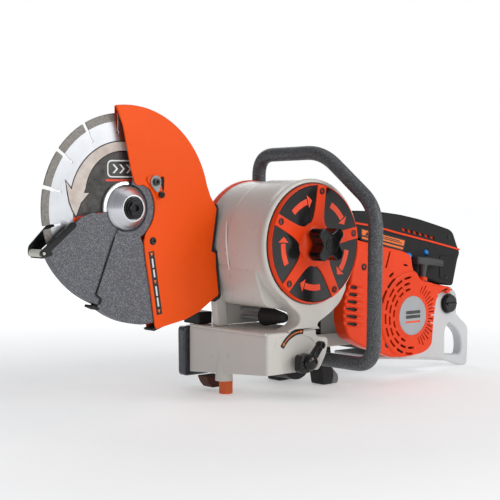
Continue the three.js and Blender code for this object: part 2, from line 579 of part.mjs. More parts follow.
function starter() {
  add("starter_housing", starterHousing(), ORANGE_PLASTIC);
  const reel = disc(34, -133, -121, CRANK);
  const ropeGroove = ring(31, 40, -130, -124, CRANK);
  add("starter_pulley", cut(reel, ropeGroove, disc(9, -140, -110, CRANK, 16)), BLACK_PLASTIC);
  const { x, y, z } = STARTER_GRIP;
  const barOutline = [[x - 32, z + 8], [x + 39, z - 1], [x + 38, z - 14], [x - 32, z - 5]];
  const bar = slab(rounded(barOutline, 4), y - 9, y + 9);
  const stem = rod([x - 9, y, z - 2], [x - 12, y, z - 36.5], 7, 5.5, 12);
  add("starter_grip", joined(bar, stem), BLACK_PLASTIC);
}

function engine() {
  const corners = [[470, -262], [592, -262], [600, -205], [590, -150], [480, -150], [466, -200]];
  const caseOutline = rounded(corners, 10);
  const crankBore = disc(CRANKCASE_BORE, -90, 42, CRANK, 24);
  const web = disc(46, -76, 30, CRANK, 20);
  add("crankcase", cut(slab(caseOutline, -84, 38), crankBore, web), CAST);
  const barrel = disc(CYLINDER.bore, CYLINDER.base, CYLINDER.top, ARBOR, 20);
  const fins = Array.from({ length: CYLINDER.fins }, (_, i) => {
    const low = CYLINDER.base + 6 + i * CYLINDER.finPitch;
    return disc(CYLINDER.fin, low, low + 3, ARBOR, 20);
  });
  const upright = joined(barrel, ...fins);
  const standing = upright.transform(new THREE.Matrix4().makeRotationX(Math.PI / 2).toArray());
  const moved = standing.transform(new THREE.Matrix4().makeTranslation(0, CYLINDER.y, 0).toArray());
  add("cylinder", leaning(moved), CAST);
  const box = rounded([[404, -84], [478, -96], [470, -144], [404, -150]], 8, 2);
  const chamber = [[407, -88], [474, -99], [467, -141], [407, -147]];
  const outlet = rod([438, 0, -120], [438, 20, -120], 8, 8, 12);
  add("muffler", cut(slab(box, -92, 10), slab(chamber, -89, 7), outlet), STEEL);
  const magnets = disc(64, -108, -92, CRANK, 28);
  const flywheelBore = disc(CRANKCASE_BORE, -110, -90, CRANK, 24);
  add("flywheel", cut(magnets, flywheelBore, ring(24, 50, -109, -104, CRANK)), CAST);
  const cheeks = disc(36, -44, -4, CRANK);
  const shaft = disc(12, -116, 69, CRANK, 24);
  const starterEnd = disc(8.6, -134, -115, CRANK, 16);
  add("crankshaft", joined(shaft, cheeks, starterEnd), STEEL);
}

function topCover() {
  const { near, far, wall } = TOP_COVER;
  const crown = [[403, -8], [448, -9], [493, -12], [536, -17], [587, -26], [633, -37], [675, -48]];
  const tail = [[680, -52], [693, -79], [701, -93], [695, -104], [681, -155]];
  const under = [[650, -150], [609, -141], [560, -128], [546, -88], [515, -78], [398, -54]];
  const inside = [[406, -12], [493, -16], [586, -30], [674, -52], [689, -80], [690, -104], [677, -150]];
  const cavity = [...inside, [677, -175], [540, -175], [540, -100], [401, -80]];
  const shell = cut(slab([...crown, ...tail, ...under], near, far), slab(cavity, near + wall, far - wall));
  const slots = Array.from({ length: 5 }, (_, i) => {
    const x = 541 + i * 18;
    const z = -42 - i * 4;
    return slab([[x, z], [x + 12, z - 2.6], [x + 14, z - 9], [x + 3, z - 7]], near - 1, near + wall + 1);
  });
  const primerHole = disc(7.8, near - 1, near + wall + 1, PRIMER, 16);
  add("top_cover", cut(shell, ...slots, primerHole), BLACK_PLASTIC);
  add("air_filter", block([600, 664], [-80, -8], [-92, -60]), FILTER_PAPER);
  const intake = rod([606, -46, -116], [597, -46, -114], 13);
  add("carburettor", joined(block([604, 640], [-70, -24], [-134, -97]), intake), ALUMINIUM);
}

function controls() {
  const { x, z } = DECOMPRESSION;
  const button = rod([x, -119, z], [x, -130, z], 6, 5);
  add("decompression_button", joined(button, rod([x, -120, z], [x, -70, z], 3, 3, 10)), BLUE_PLASTIC);
  add("primer_bulb", rod([PRIMER.x, -104, PRIMER.z], [PRIMER.x, -116, PRIMER.z], 6.4, 5), BLUE_PLASTIC);
  add("stop_switch", rod([STOP.x, TANK.near + 2, STOP.z], [STOP.x, -109, STOP.z], 5, 4.5, 12), BLACK_PLASTIC);
  const knob = rod([CHOKE.x, -106, CHOKE.z], [CHOKE.x, -114, CHOKE.z], 7, 6.5);
  const chokeShaft = rod([CHOKE.x, -107, CHOKE.z], [CHOKE.x, -84, CHOKE.z], 3, 3, 12);
  add("choke_knob", joined(knob, chokeShaft), ORANGE_PLASTIC);
}

function rearBody() {
  const crest = [[600, -156], [690, -166], [716, -180], [744, -208], [762, -225.5], [779, -237], [786, -247]];
  const heel = [[785.5, -284], [784, GROUND_Z], [766, GROUND_Z], [742, -311]];
  const sole = [[700, -301], [629, -292], [600, -287]];
  const grip = slab(rounded([...crest, ...heel, ...sole], 6), GRIP.near, GRIP.far);
  const fingers = [[686, -230], [719, -229], [737, -237], [750, -246], [762, -260], [765, -280], [762, -297]];
  const handHole = slab(rounded([...fingers, [716, -292], [686, -288]], 6), GRIP.near - 1, GRIP.far + 1);

  const shoulder = [[606, -163], [618, -156], [690, -157], [706, -172], [704, -214], [680, -226]];
  const tankSide = [[671, -238], [671, -298], [629, -292]];
  const rail = [[486, -278], [486, -272.5], [588, -272.5], [600, -262]];
  const tank = slab(rounded([...shoulder, ...tankSide, ...rail], 4), TANK.near, TANK.far);
  const inside = [[612, -176], [676, -176], [688, -190], [684, -200], [668, -214], [664, -234], [664, -288]];
  const hollowOutline = rounded([...inside, [640, -282], [612, -276]], 5);
  const hollow = slab(hollowOutline, TANK.near + TANK.wall, TANK.far - TANK.wall);

  const slotY = [TRIGGER.near - TRIGGER.space, TRIGGER.far + TRIGGER.space];
  const triggerSlot = block([686, 721], slotY, [-240, -206]);
  const lockSlot = block([718, 740], slotY, [-211, -175]);
  const filler = disc(12.3, TANK.near - 1, TANK.near + 5, CAP, 20);
  const switchSeat = disc(5.8, TANK.near - 1, TANK.near + 5, STOP, 12);
  const chokeSeat = disc(3.5, TANK.near - 1, -82, CHOKE, 12);
  const body = cut(joined(tank, cut(grip, handHole)), hollow);
  return cut(body, triggerSlot, lockSlot, filler, switchSeat, chokeSeat);
}

function rearControls() {
  add("fuel_tank_grip", rearBody(), WHITE_PLASTIC);
  const stud = disc(12, TANK.near - 1, TANK.near + 4, CAP, 20);
  add("fuel_cap", joined(disc(17, TANK.near - 10, TANK.near - GAP, CAP, 24), stud), BLACK_PLASTIC);
  const lever = rounded([[702, -218], [710, -224], [717, -240], [713, -248], [704, -236], [696, -226]], 2, 2);
  add("throttle_trigger", slab(lever, TRIGGER.near, TRIGGER.far), BLACK_PLASTIC);
  const lock = [[720, -191], [738, -204], [738, -195], [732, -185], [724, -179]];
  add("throttle_lock", slab(lock, TRIGGER.near, TRIGGER.far), BLACK_PLASTIC);
}

bladeAssembly();
guardSegments();
rollerBracket();
fixedGuard();
latch();
driveArm();
dustSystem();
supports();
starter();
engine();
topCover();
controls();
rearControls();
saw.position.set(...ORIGIN_SHIFT);

export default saw;
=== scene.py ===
import json
import math

import bmesh
import bpy
from mathutils import Matrix, Vector

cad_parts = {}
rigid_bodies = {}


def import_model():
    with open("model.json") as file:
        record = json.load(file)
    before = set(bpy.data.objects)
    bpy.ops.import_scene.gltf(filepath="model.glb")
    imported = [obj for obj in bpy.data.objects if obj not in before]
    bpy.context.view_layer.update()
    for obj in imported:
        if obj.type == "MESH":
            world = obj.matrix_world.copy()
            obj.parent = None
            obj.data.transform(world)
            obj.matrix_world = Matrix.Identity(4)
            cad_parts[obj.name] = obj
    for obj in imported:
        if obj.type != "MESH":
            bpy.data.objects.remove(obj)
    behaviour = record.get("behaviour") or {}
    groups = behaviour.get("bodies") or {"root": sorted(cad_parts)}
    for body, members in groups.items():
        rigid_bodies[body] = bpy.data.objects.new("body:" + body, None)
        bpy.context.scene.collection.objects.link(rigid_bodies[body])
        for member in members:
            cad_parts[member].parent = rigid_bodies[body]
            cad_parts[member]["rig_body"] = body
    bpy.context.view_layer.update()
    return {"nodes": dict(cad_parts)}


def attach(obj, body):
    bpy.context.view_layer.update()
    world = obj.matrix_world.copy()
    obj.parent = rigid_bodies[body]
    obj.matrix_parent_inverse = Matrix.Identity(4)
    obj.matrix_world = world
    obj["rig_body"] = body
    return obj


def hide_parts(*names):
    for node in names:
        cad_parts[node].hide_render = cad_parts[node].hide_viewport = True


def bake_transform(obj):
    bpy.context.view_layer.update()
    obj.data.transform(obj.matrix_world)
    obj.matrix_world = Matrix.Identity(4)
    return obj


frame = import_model()
scene = bpy.context.scene

# Shapes are written in millimetres about the blade's arbor, as in the CAD; ORIGIN moves them to the frame.
MM = 0.001
ORIGIN = Vector((-311.4, 81.3, 319.0))
GROUND_Z = -319.0
ARBOR = (0.0, 0.0)
CRANK = (531.0, -198.0)
DRUM = (284.0, -61.0)
DUMP = (259.0, -256.0)
ROLLER = (-157.2, -67.2)
LATCH = (51.0, 42.0)
CAP = (678.0, -188.0)
PRIMER = (602.0, -88.0)
DECOMPRESSION = (540.5, -91.5)
HEAD_TILT = math.radians(11.5)
GUARD_NEAR, GUARD_FAR = -16.0, 11.4
HUB_BORE = 38.6
DRUM_NEAR = -142.0
STARTER_NEAR = -140.0
COVER_NEAR = -112.0

# The photograph's view, solved from its ellipses: metres, degrees and millimetres.
CAMERA_AT = (-1.4890, -1.6063, 0.3588)
CAMERA_TURN = (87.0, 0.0, -40.6)
LENS, SENSOR = 91.66, 36.0
LIGHT_TARGET = (0.0, 0.0, 0.25)
WARM_WHITE = (1.0, 0.985, 0.96)


# ---- camera, light and floor ----
def at(x, y, z):
    return (Vector((x, y, z)) + ORIGIN) * MM


def camera():
    data = bpy.data.cameras.new("camera")
    data.sensor_width = SENSOR
    data.lens = LENS
    data.clip_end = 50.0
    obj = bpy.data.objects.new("camera", data)
    obj.location = CAMERA_AT
    obj.rotation_euler = tuple(map(math.radians, CAMERA_TURN))
    scene.collection.objects.link(obj)
    scene.camera = obj


def area_light(name, location, target, size, energy, color=(1.0, 1.0, 1.0), size_y=None):
    data = bpy.data.lights.new(name, "AREA")
    data.shape = "RECTANGLE"
    data.size = size
    data.size_y = size_y or size
    data.energy = energy
    data.color = color
    obj = bpy.data.objects.new(name, data)
    obj.location = location
    obj.rotation_euler = (Vector(target) - Vector(location)).to_track_quat("-Z", "Y").to_euler()
    scene.collection.objects.link(obj)


def studio():
    world = bpy.data.worlds.new("studio")
    world.use_nodes = True
    tree = world.node_tree
    tree.nodes["Background"].inputs["Color"].default_value = (0.95, 0.97, 1.0, 1.0)
    tree.nodes["Background"].inputs["Strength"].default_value = 0.34
    backdrop = node(tree, "Background", {"Color": (1.0, 1.0, 1.0, 1.0)})
    seen = node(tree, "LightPath", {}).outputs["Is Camera Ray"]
    surfaces = {0: seen, 1: tree.nodes["Background"].outputs[0], 2: backdrop.outputs[0]}
    blend = node(tree, "MixShader", surfaces)
    tree.links.new(blend.outputs[0], tree.nodes["World Output"].inputs["Surface"])
    scene.world = world
    area_light("key", (1.5, -2.3, 1.5), LIGHT_TARGET, 1.4, 30.0, WARM_WHITE)
    area_light("front", (-0.15, -2.9, 1.0), LIGHT_TARGET, 1.2, 14.0, WARM_WHITE)
    area_light("fill", (-2.6, -0.7, 0.9), LIGHT_TARGET, 1.3, 0.3)
    area_light("overhead", (0.2, 0.2, 2.4), LIGHT_TARGET, 1.9, 7.0)
    area_light("rear", (1.2, 2.4, 1.3), LIGHT_TARGET, 1.6, 14.0)
    area_light("strip", (-1.9, -1.9, 0.62), (-0.1, 0.0, 0.3), 0.1, 0.5, size_y=1.1)
    scene.view_settings.view_transform = "Standard"


def floor():
    bm = bmesh.new()
    bmesh.ops.create_grid(bm, x_segments=4, y_segments=4, size=14.0)
    mesh = bpy.data.meshes.new("studio_floor")
    bm.to_mesh(mesh)
    bm.free()
    obj = bpy.data.objects.new("studio_floor", mesh)
    obj.location.z = -0.0006
    scene.collection.objects.link(obj)
    paper = finish("floor_paper", (232, 233, 234), 0.85, tint=0.006, grain=(600, 0.02))
    tree = paper.node_tree
    glow = tree.nodes["Principled BSDF"].inputs
    coords = tree.nodes["Texture Coordinate"].outputs["Object"]
    distance = node(tree, "VectorMath", {0: coords}, operation="LENGTH").outputs["Value"]
    glow["Emission Color"].default_value = (1.0, 1.0, 1.0, 1.0)
    tree.links.new(value_range(tree, distance, 0.3, 0.72, 0.5, 2.2), glow["Emission Strength"])
    mesh.materials.append(paper)


# ---- materials ----
def rgb(color, gain=1.0):
    def linear(c):
        c = min(1.0, c * gain / 255.0)
        return c / 12.92 if c <= 0.04045 else ((c + 0.055) / 1.055) ** 2.4

    return (*map(linear, color), 1.0)


def new_material(name):
    mat = bpy.data.materials.new(name)
    mat.use_nodes = True
    tree = mat.node_tree
    coords = tree.nodes.new("ShaderNodeTexCoord").outputs["Object"]
    return mat, tree, tree.nodes["Principled BSDF"], coords


def node(tree, kind, inputs, **settings):
    """A shader node. inputs gives its sockets a value each, or another node's output to read."""
    new = tree.nodes.new("ShaderNode" + kind)
    for name, value in settings.items():
        setattr(new, name, value)
    for socket, value in inputs.items():
        if isinstance(value, bpy.types.NodeSocket):
            tree.links.new(value, new.inputs[socket])
        else:
            new.inputs[socket].default_value = value
    return new


def noise(tree, vector, scale, detail=3.0, roughness=0.55):
    inputs = {"Vector": vector, "Scale": scale, "Detail": detail, "Roughness": roughness}
    return node(tree, "TexNoise", inputs).outputs["Fac"]


def ramp(tree, value, stops):
    new = node(tree, "ValToRGB", {"Fac": value})
    elements = new.color_ramp.elements
    while len(elements) < len(stops):
        elements.new(0.5)
    for element, (position, color) in zip(elements, stops):
        element.position = position
        element.color = color if len(color) == 4 else (*color, 1.0)
    return new.outputs["Color"]


def mask(tree, value, low, high, peak=1.0):
    """Grey that rises from black at low to peak at high."""
    return ramp(tree, value, [(low, (0,) * 3), (high, (peak,) * 3)])


def mix(tree, factor, first, second, blend="MIX"):
    sockets = {0: factor, 6: first, 7: second}
    return node(tree, "Mix", sockets, data_type="RGBA", blend_type=blend).outputs[2]


def bump(tree, height, strength, distance=0.0004, normal=None):
    inputs = {"Height": height, "Strength": strength, "Distance": distance}
    if normal:
        inputs["Normal"] = normal
    return node(tree, "Bump", inputs).outputs["Normal"]


def value_range(tree, value, low, high, start=0.3, end=0.7):
    inputs = {"Value": value, "From Min": start, "From Max": end, "To Min": low, "To Max": high}
    return node(tree, "MapRange", inputs).outputs["Result"]


def finish(name, color, rough, metal=0.0, tint=0.06, tint_scale=14.0, speck=None, grain=(500, 0.12),
           lumps=None, wear=None, coat=0.0, scatter=0.0, grime=0.0, shine=0.5):
    """A moulded, painted or cast surface: broad tint drift, optional speckle, grain, lumps and worn edges."""
    mat, tree, shader, coords = new_material(name)
    drift = noise(tree, coords, tint_scale, 4.0)
    tone = ramp(tree, drift, [(0.3, rgb(color, 1 - tint)), (0.7, rgb(color, 1 + tint))])
    if speck:
        scale, dark, light, low, high = speck
        fine = noise(tree, coords, scale, 2.0, 0.6)
        tone = mix(tree, ramp(tree, fine, [(low, (1,) * 3), (low + 0.06, (0,) * 3)]), tone, rgb(dark))
        coarse = noise(tree, coords, scale * 0.7, 2.0, 0.6)
        tone = mix(tree, mask(tree, coarse, high - 0.06, high), tone, rgb(light))
    if grime:
        dust = noise(tree, coords, 5.0, 6.0, 0.65)
        tone = mix(tree, mask(tree, dust, 0.5, 0.8, grime), tone, rgb((176, 166, 152)))
    if wear:
        worn, amount = wear
        geometry = node(tree, "NewGeometry", {})
        edge = mask(tree, geometry.outputs["Pointiness"], 0.52, 0.6, amount)
        patchy = mask(tree, noise(tree, coords, 90.0, 5.0), 0.42, 0.62)
        tone = mix(tree, mix(tree, 1.0, edge, patchy, "MULTIPLY"), tone, rgb(worn))
    tree.links.new(tone, shader.inputs["Base Color"])
    patches = noise(tree, coords, 40.0, 4.0)
    tree.links.new(value_range(tree, patches, max(0.03, rough - 0.06), rough + 0.08),
        shader.inputs["Roughness"])
    normal = bump(tree, noise(tree, coords, grain[0], 3.0), grain[1])
    if lumps:
        normal = bump(tree, noise(tree, coords, lumps[0], 1.5), lumps[1], 0.0012, normal)
    tree.links.new(normal, shader.inputs["Normal"])
    shader.inputs["Metallic"].default_value = metal
    shader.inputs["Specular IOR Level"].default_value = shine
    shader.inputs["Coat Weight"].default_value = coat
    shader.inputs["Coat Roughness"].default_value = 0.12
    if scatter:
        shader.inputs["Subsurface Weight"].default_value = scatter
        shader.inputs["Subsurface Radius"].default_value = (0.004, 0.003, 0.0025)
        shader.inputs["Subsurface Scale"].default_value = 1.0
    return mat


def brushed(name, color, rough, centre=(0.0, 0.0), lines=1600.0, depth=0.25, tint=0.08):
    """Turned or ground metal: fine rings about an axis parallel to Y."""
    mat, tree, shader, coords = new_material(name)
    middle = at(centre[0], 0.0, centre[1])
    offset = (middle.x, 0.0, middle.z)
    shift = node(tree, "VectorMath", {0: coords, 1: offset}, operation="SUBTRACT").outputs[0]
    flat = node(tree, "VectorMath", {0: shift, 1: (1.0, 0.0, 1.0)}, operation="MULTIPLY").outputs[0]
    radius = node(tree, "VectorMath", {0: flat}, operation="LENGTH").outputs["Value"]
    depth_y = node(tree, "SeparateXYZ", {0: shift}).outputs["Y"]
    joined = node(tree, "CombineXYZ", {"X": radius, "Y": depth_y}).outputs[0]
    rings = noise(tree, joined, lines, 2.0, 0.7)
    clouds = noise(tree, coords, 30.0, 4.0)
    tone = ramp(tree, rings, [(0.25, rgb(color, 1 - tint)), (0.75, rgb(color, 1 + tint))])
    tone = mix(tree, 0.35, tone, ramp(tree, clouds, [(0.3, rgb(color, 0.9)), (0.7, rgb(color, 1.05))]))
    tree.links.new(tone, shader.inputs["Base Color"])
    tree.links.new(value_range(tree, rings, rough - 0.07, rough + 0.1), shader.inputs["Roughness"])
    tree.links.new(bump(tree, rings, depth, 0.00012), shader.inputs["Normal"])
    shader.inputs["Metallic"].default_value = 1.0
    return mat


def sintered(name):
    """Diamond grit in a grey metal bond."""
    mat, tree, shader, coords = new_material(name)
    grit = noise(tree, coords, 900.0, 3.0, 0.7)
    spots = noise(tree, coords, 330.0, 3.0, 0.6)
    tone = ramp(tree, grit, [(0.3, rgb((84, 80, 77))), (0.5, rgb((134, 130, 126))),
        (0.72, rgb((196, 192, 186)))])
    patch = ramp(tree, spots, [(0.35, rgb((110, 106, 102))), (0.65, rgb((150, 147, 142)))])
    tone = mix(tree, 0.45, tone, patch)
    tree.links.new(tone, shader.inputs["Base Color"])
    tree.links.new(value_range(tree, grit, 0.42, 0.7), shader.inputs["Roughness"])
    tree.links.new(bump(tree, grit, 0.5, 0.0003), shader.inputs["Normal"])
    shader.inputs["Metallic"].default_value = 0.65
    return mat


def label_print(name, color, second, rough=0.35, scale=60.0):
    """Printed vinyl with a mottled ink."""
    mat, tree, shader, coords = new_material(name)
    cloud = noise(tree, coords, scale, 7.0, 0.68)
    tree.links.new(ramp(tree, cloud, [(0.32, rgb(color)), (0.7, rgb(second))]), shader.inputs["Base Color"])
    tree.links.new(value_range(tree, cloud, rough - 0.05, rough + 0.1), shader.inputs["Roughness"])
    tree.links.new(bump(tree, noise(tree, coords, 700.0), 0.05, 0.0001), shader.inputs["Normal"])
    return mat


M = {
    "paint": finish("orange_powder_coat", (246, 84, 4), 0.4, tint=0.015, tint_scale=8.0, grain=(900, 0.05),
        lumps=(160, 0.04), shine=0.22),
    "orange": finish("orange_moulding", (234, 62, 4), 0.34, tint=0.03, grain=(1100, 0.08), shine=0.3),
    "hammer": finish("grey_hammer_paint", (98, 99, 106), 0.5, 0.1, tint=0.02,
        speck=(760, (56, 57, 64), (128, 130, 136), 0.43, 0.6), grain=(900, 0.35), lumps=(300, 0.1)),
    "tube": finish("grey_textured_coat", (74, 76, 79), 0.44, 0.1, tint=0.05,
        speck=(700, (44, 46, 49), (108, 111, 114), 0.42, 0.6), grain=(900, 0.45), lumps=(420, 0.15)),
    "white": finish("pale_moulding", (208, 205, 199), 0.32, tint=0.018, tint_scale=7.0, grain=(1500, 0.05),
        lumps=(60, 0.02), scatter=0.04, grime=0.12),
    "grip_white": finish("pale_tank_moulding", (206, 208, 210), 0.4, tint=0.02, grain=(1300, 0.12),
        scatter=0.04, grime=0.1),
    "black": finish("black_moulding", (22, 22, 24), 0.45, tint=0.1, grain=(1400, 0.2), shine=0.25),
    "grip_black": finish("grey_black_moulding", (58, 58, 60), 0.5, tint=0.08, grain=(1200, 0.25)),
    "gloss_black": finish("black_gloss_moulding", (12, 12, 14), 0.2, tint=0.1, grain=(500, 0.02), coat=0.15,
        shine=0.35),
    "panel": finish("black_panel_sheet", (26, 25, 26), 0.16, tint=0.12, tint_scale=30, grain=(260, 0.03),
        shine=0.45),
    "rubber": finish("black_rubber", (30, 30, 31), 0.72, tint=0.12, grain=(900, 0.3), grime=0.1),
    "toe": finish("grey_rubber", (108, 109, 112), 0.7, tint=0.06, grain=(800, 0.3)),
    "boot_orange": finish("orange_rubber", (214, 92, 30), 0.5, tint=0.06, grain=(600, 0.18)),
    "brown_rubber": finish("brown_rubber", (74, 36, 26), 0.68, tint=0.1, grain=(600, 0.2)),
    "nylon": finish("cream_nylon", (206, 206, 194), 0.42, tint=0.05, tint_scale=60, grain=(700, 0.15),
        scatter=0.08, grime=0.15),
    "blue": finish("blue_moulding", (28, 128, 214), 0.25, tint=0.05, grain=(900, 0.05), coat=0.2),
    "cast": finish("cast_alloy", (146, 148, 150), 0.52, 0.85, tint=0.06, grain=(420, 0.45),
        lumps=(150, 0.12)),
    "dark_cast": finish("dark_engine_alloy", (66, 67, 69), 0.55, 0.7, tint=0.08, grain=(420, 0.45)),
    "oxide": finish("black_oxide", (44, 44, 46), 0.32, 0.75, tint=0.08, grain=(700, 0.15),
        wear=((150, 150, 150), 0.6)),
    "side_black": finish("black_hammer_paint", (54, 58, 66), 0.26, 0.25, tint=0.12, tint_scale=50,
        grain=(300, 0.2), lumps=(130, 1.0), coat=0.4),
    "paper": finish("filter_paper", (226, 220, 204), 0.85, tint=0.05, grain=(500, 0.3)),
    "steel": brushed("ground_steel", (205, 208, 212), 0.3),
    "core": brushed("ground_blade_core", (206, 209, 214), 0.36, lines=900.0, depth=0.12, tint=0.03),
    "hub": brushed("turned_aluminium", (218, 221, 226), 0.3, lines=500.0, depth=0.12, tint=0.05),
    "pulley": brushed("turned_pulley", (150, 152, 155), 0.35, CRANK),
    "segment": sintered("sintered_rim"),
    "badge": brushed("badge_aluminium", (176, 178, 181), 0.42, CRANK, 700.0, 0.1, 0.04),
    "ink_dark": label_print("charcoal_ink", (30, 27, 26), (88, 84, 82)),
    "ink_orange": label_print("orange_ink", (236, 62, 26), (246, 82, 34)),
    "ink_amber": label_print("amber_ink", (236, 112, 34), (246, 130, 44)),
    "ink_beige": label_print("beige_ink", (186, 170, 160), (226, 216, 208), scale=24.0),
    "ink_black": label_print("black_ink", (16, 15, 15), (30, 29, 29)),
    "ink_pale": label_print("pale_ink", (226, 226, 224), (240, 240, 238)),
}


# ---- outlines in the XZ plane ----
def arc(cx, cz, radius, start, end, steps):
    angles = [math.radians(start + (end - start) * i / steps) for i in range(steps + 1)]
    return [(cx + radius * math.cos(a), cz + radius * math.sin(a)) for a in angles]


def circle(centre, radius, steps=64):
    return arc(*centre, radius, 0, 360, steps)[1:]


def rect(x0, x1, z0, z1):
    return [(x0, z0), (x1, z0), (x1, z1), (x0, z1)]


def polar(radius, degrees):
    """A point by its distance and angle from the arbor."""
    return (radius * math.cos(math.radians(degrees)), radius * math.sin(math.radians(degrees)))


def rounded(points, radius, steps=5):
    """The closed outline with its corners rounded by up to the given radius."""
    out = []
    for i, corner in enumerate(points):
        here, before, after = Vector(corner), Vector(points[i - 1]), Vector(points[(i + 1) % len(points)])
        reach = min(radius, (before - here).length / 2.1, (after - here).length / 2.1)
        start = here + (before - here).normalized() * reach
        end = here + (after - here).normalized() * reach
        for k in range(steps + 1):
            t = k / steps
            out.append(tuple(start * (1 - t) ** 2 + here * 2 * t * (1 - t) + end * t * t))
    return out


def hull(circles, steps=48):
    """The convex outline around circles given as (x, z, radius)."""
    points = sorted(p for x, z, r in circles for p in arc(x, z, r, 0, 360, steps)[1:])

    def chain(ordered):
        kept = []
        for p in ordered:
            while len(kept) > 1:
                o, a = kept[-2], kept[-1]
                if (a[0] - o[0]) * (p[1] - o[1]) - (a[1] - o[1]) * (p[0] - o[0]) > 1e-6:
                    break
                kept.pop()
            kept.append(p)
        return kept[:-1]

    return chain(points) + chain(points[::-1])


# ---- solids, as bmesh in arbor millimetres ----
def evaluated(obj):
    """The object's final mesh as a bmesh; the object and its data are removed."""
    graph = bpy.context.evaluated_depsgraph_get()
    mesh = bpy.data.meshes.new_from_object(obj.evaluated_get(graph))
    bm = bmesh.new()
    bm.from_mesh(mesh)
    bpy.data.meshes.remove(mesh)
    data = obj.data
    bpy.data.objects.remove(obj)
    if isinstance(data, bpy.types.Mesh):
        bpy.data.meshes.remove(data)
    else:
        bpy.data.curves.remove(data)
    return bm


def plate(outline, low, high, holes=(), edge=0.6, steps=3):
    """A flat body across Y with its rims rounded by edge. outline may be a list of outlines."""
    curve = bpy.data.curves.new("outline", "CURVE")
    curve.dimensions = "2D"
    curve.fill_mode = "BOTH"
    curve.extrude = (high - low) / 2 - edge
    curve.bevel_depth = edge
    curve.bevel_resolution = steps
    curve.offset = -edge
    outlines = outline if isinstance(outline[0][0], (list, tuple)) else [outline]
    for points in [*outlines, *holes]:
        spline = curve.splines.new("POLY")
        spline.points.add(len(points) - 1)
        for point, (x, z) in zip(spline.points, points):
            point.co = (x, z, 0.0, 1.0)
        spline.use_cyclic_u = True
    obj = bpy.data.objects.new("outline", curve)
    scene.collection.objects.link(obj)
    bm = evaluated(obj)
    for v in bm.verts:
        x, z, depth = v.co
        v.co = (x, (low + high) / 2 - depth, z)
    bmesh.ops.remove_doubles(bm, verts=bm.verts, dist=0.0004)
    bmesh.ops.recalc_face_normals(bm, faces=bm.faces)
    return bm


def lathe(profile, centre, seg=96, closed=False):
    """A body turned about the axis parallel to Y through centre. profile is (radius, y) points."""
    bm = bmesh.new()
    rings = []
    for radius, y in profile:
        if radius < 1e-6:
            rings.append([bm.verts.new((centre[0], y, centre[1]))])
            continue
        rings.append([bm.verts.new((x, y, z)) for x, z in arc(*centre, radius, 0, 360, seg)[1:]])
    pairs = list(zip(rings, rings[1:])) + ([(rings[-1], rings[0])] if closed else [])
    for a, b in pairs:
        for i in range(seg):
            j = (i + 1) % seg
            loop = [a[i % len(a)], a[j % len(a)], b[j % len(b)], b[i % len(b)]]
            unique = list(dict.fromkeys(loop))
            if len(unique) > 2:
                bm.faces.new(unique)
    bmesh.ops.recalc_face_normals(bm, faces=bm.faces)
    return bm


def cylinder(radius, low, high, centre, seg=96):
    return lathe(rect(0, radius, low, high), centre, seg)


def soft_ring(inner, outer, low, high, centre, edge=0.8, seg=96):
    """A ring with rounded rims; inner 0 makes a disc."""
    if inner > 0:
        profile = rounded(rect(inner, outer, low, high), edge, 4)
        return lathe(profile, centre, seg, closed=True)
    corner = rounded([(0, low - 50), (outer - 50, low), (outer, low), (outer, high), (outer - 50, high)],
        edge, 4)
    rim = [p for p in corner if abs(p[0] - outer) <= edge + 1e-6]
    return lathe([(0, low), *rim, (0, high)], centre, seg)


def aim(bm, start, end):
    """Moves a body turned about the Y axis through (0, 0) so that Y points from start to end."""
    span = Vector(end) - Vector(start)
    turn = Vector((0, 1, 0)).rotation_difference(span.normalized()).to_matrix().to_4x4()
    bmesh.ops.transform(bm, matrix=Matrix.Translation(Vector(start)) @ turn, verts=bm.verts)
    return bm


def rod(start, end, radius, end_radius=None, edge=0.6, seg=40):
    """A round bar or cone from start to end with rounded rims."""
    length = (Vector(end) - Vector(start)).length
    end_radius = radius if end_radius is None else end_radius
    e = min(edge, radius * 0.9, end_radius * 0.9, length / 2.1)
    near = [(radius - e * (1 - math.sin(a)), e * (1 - math.cos(a))) for a in (0, 0.52, 1.05, math.pi / 2)]
    far = [(end_radius - e * (1 - math.sin(a)), length - e * (1 - math.cos(a)))
        for a in (math.pi / 2, 1.05, 0.52, 0)]
    return aim(lathe([(0, 0), *near, *far, (0, length)], (0, 0), seg), start, end)


def bend_path(points, bend, steps=14, straight=10):
    """A tube's centre line through points, with a bend that starts this far from each inner point."""
    at_points = [Vector(p) for p in points]
    path = [at_points[0]]
    for before, here, after in zip(at_points, at_points[1:], at_points[2:]):
        entry = here + (before - here).normalized() * bend
        leave = here + (after - here).normalized() * bend
        path += [path[-1].lerp(entry, k / straight) for k in range(1, straight)]
        for k in range(steps + 1):
            t = k / steps
            path.append(entry * (1 - t) ** 2 + here * 2 * t * (1 - t) + leave * t * t)
    path += [path[-1].lerp(at_points[-1], k / straight) for k in range(1, straight + 1)]
    return path


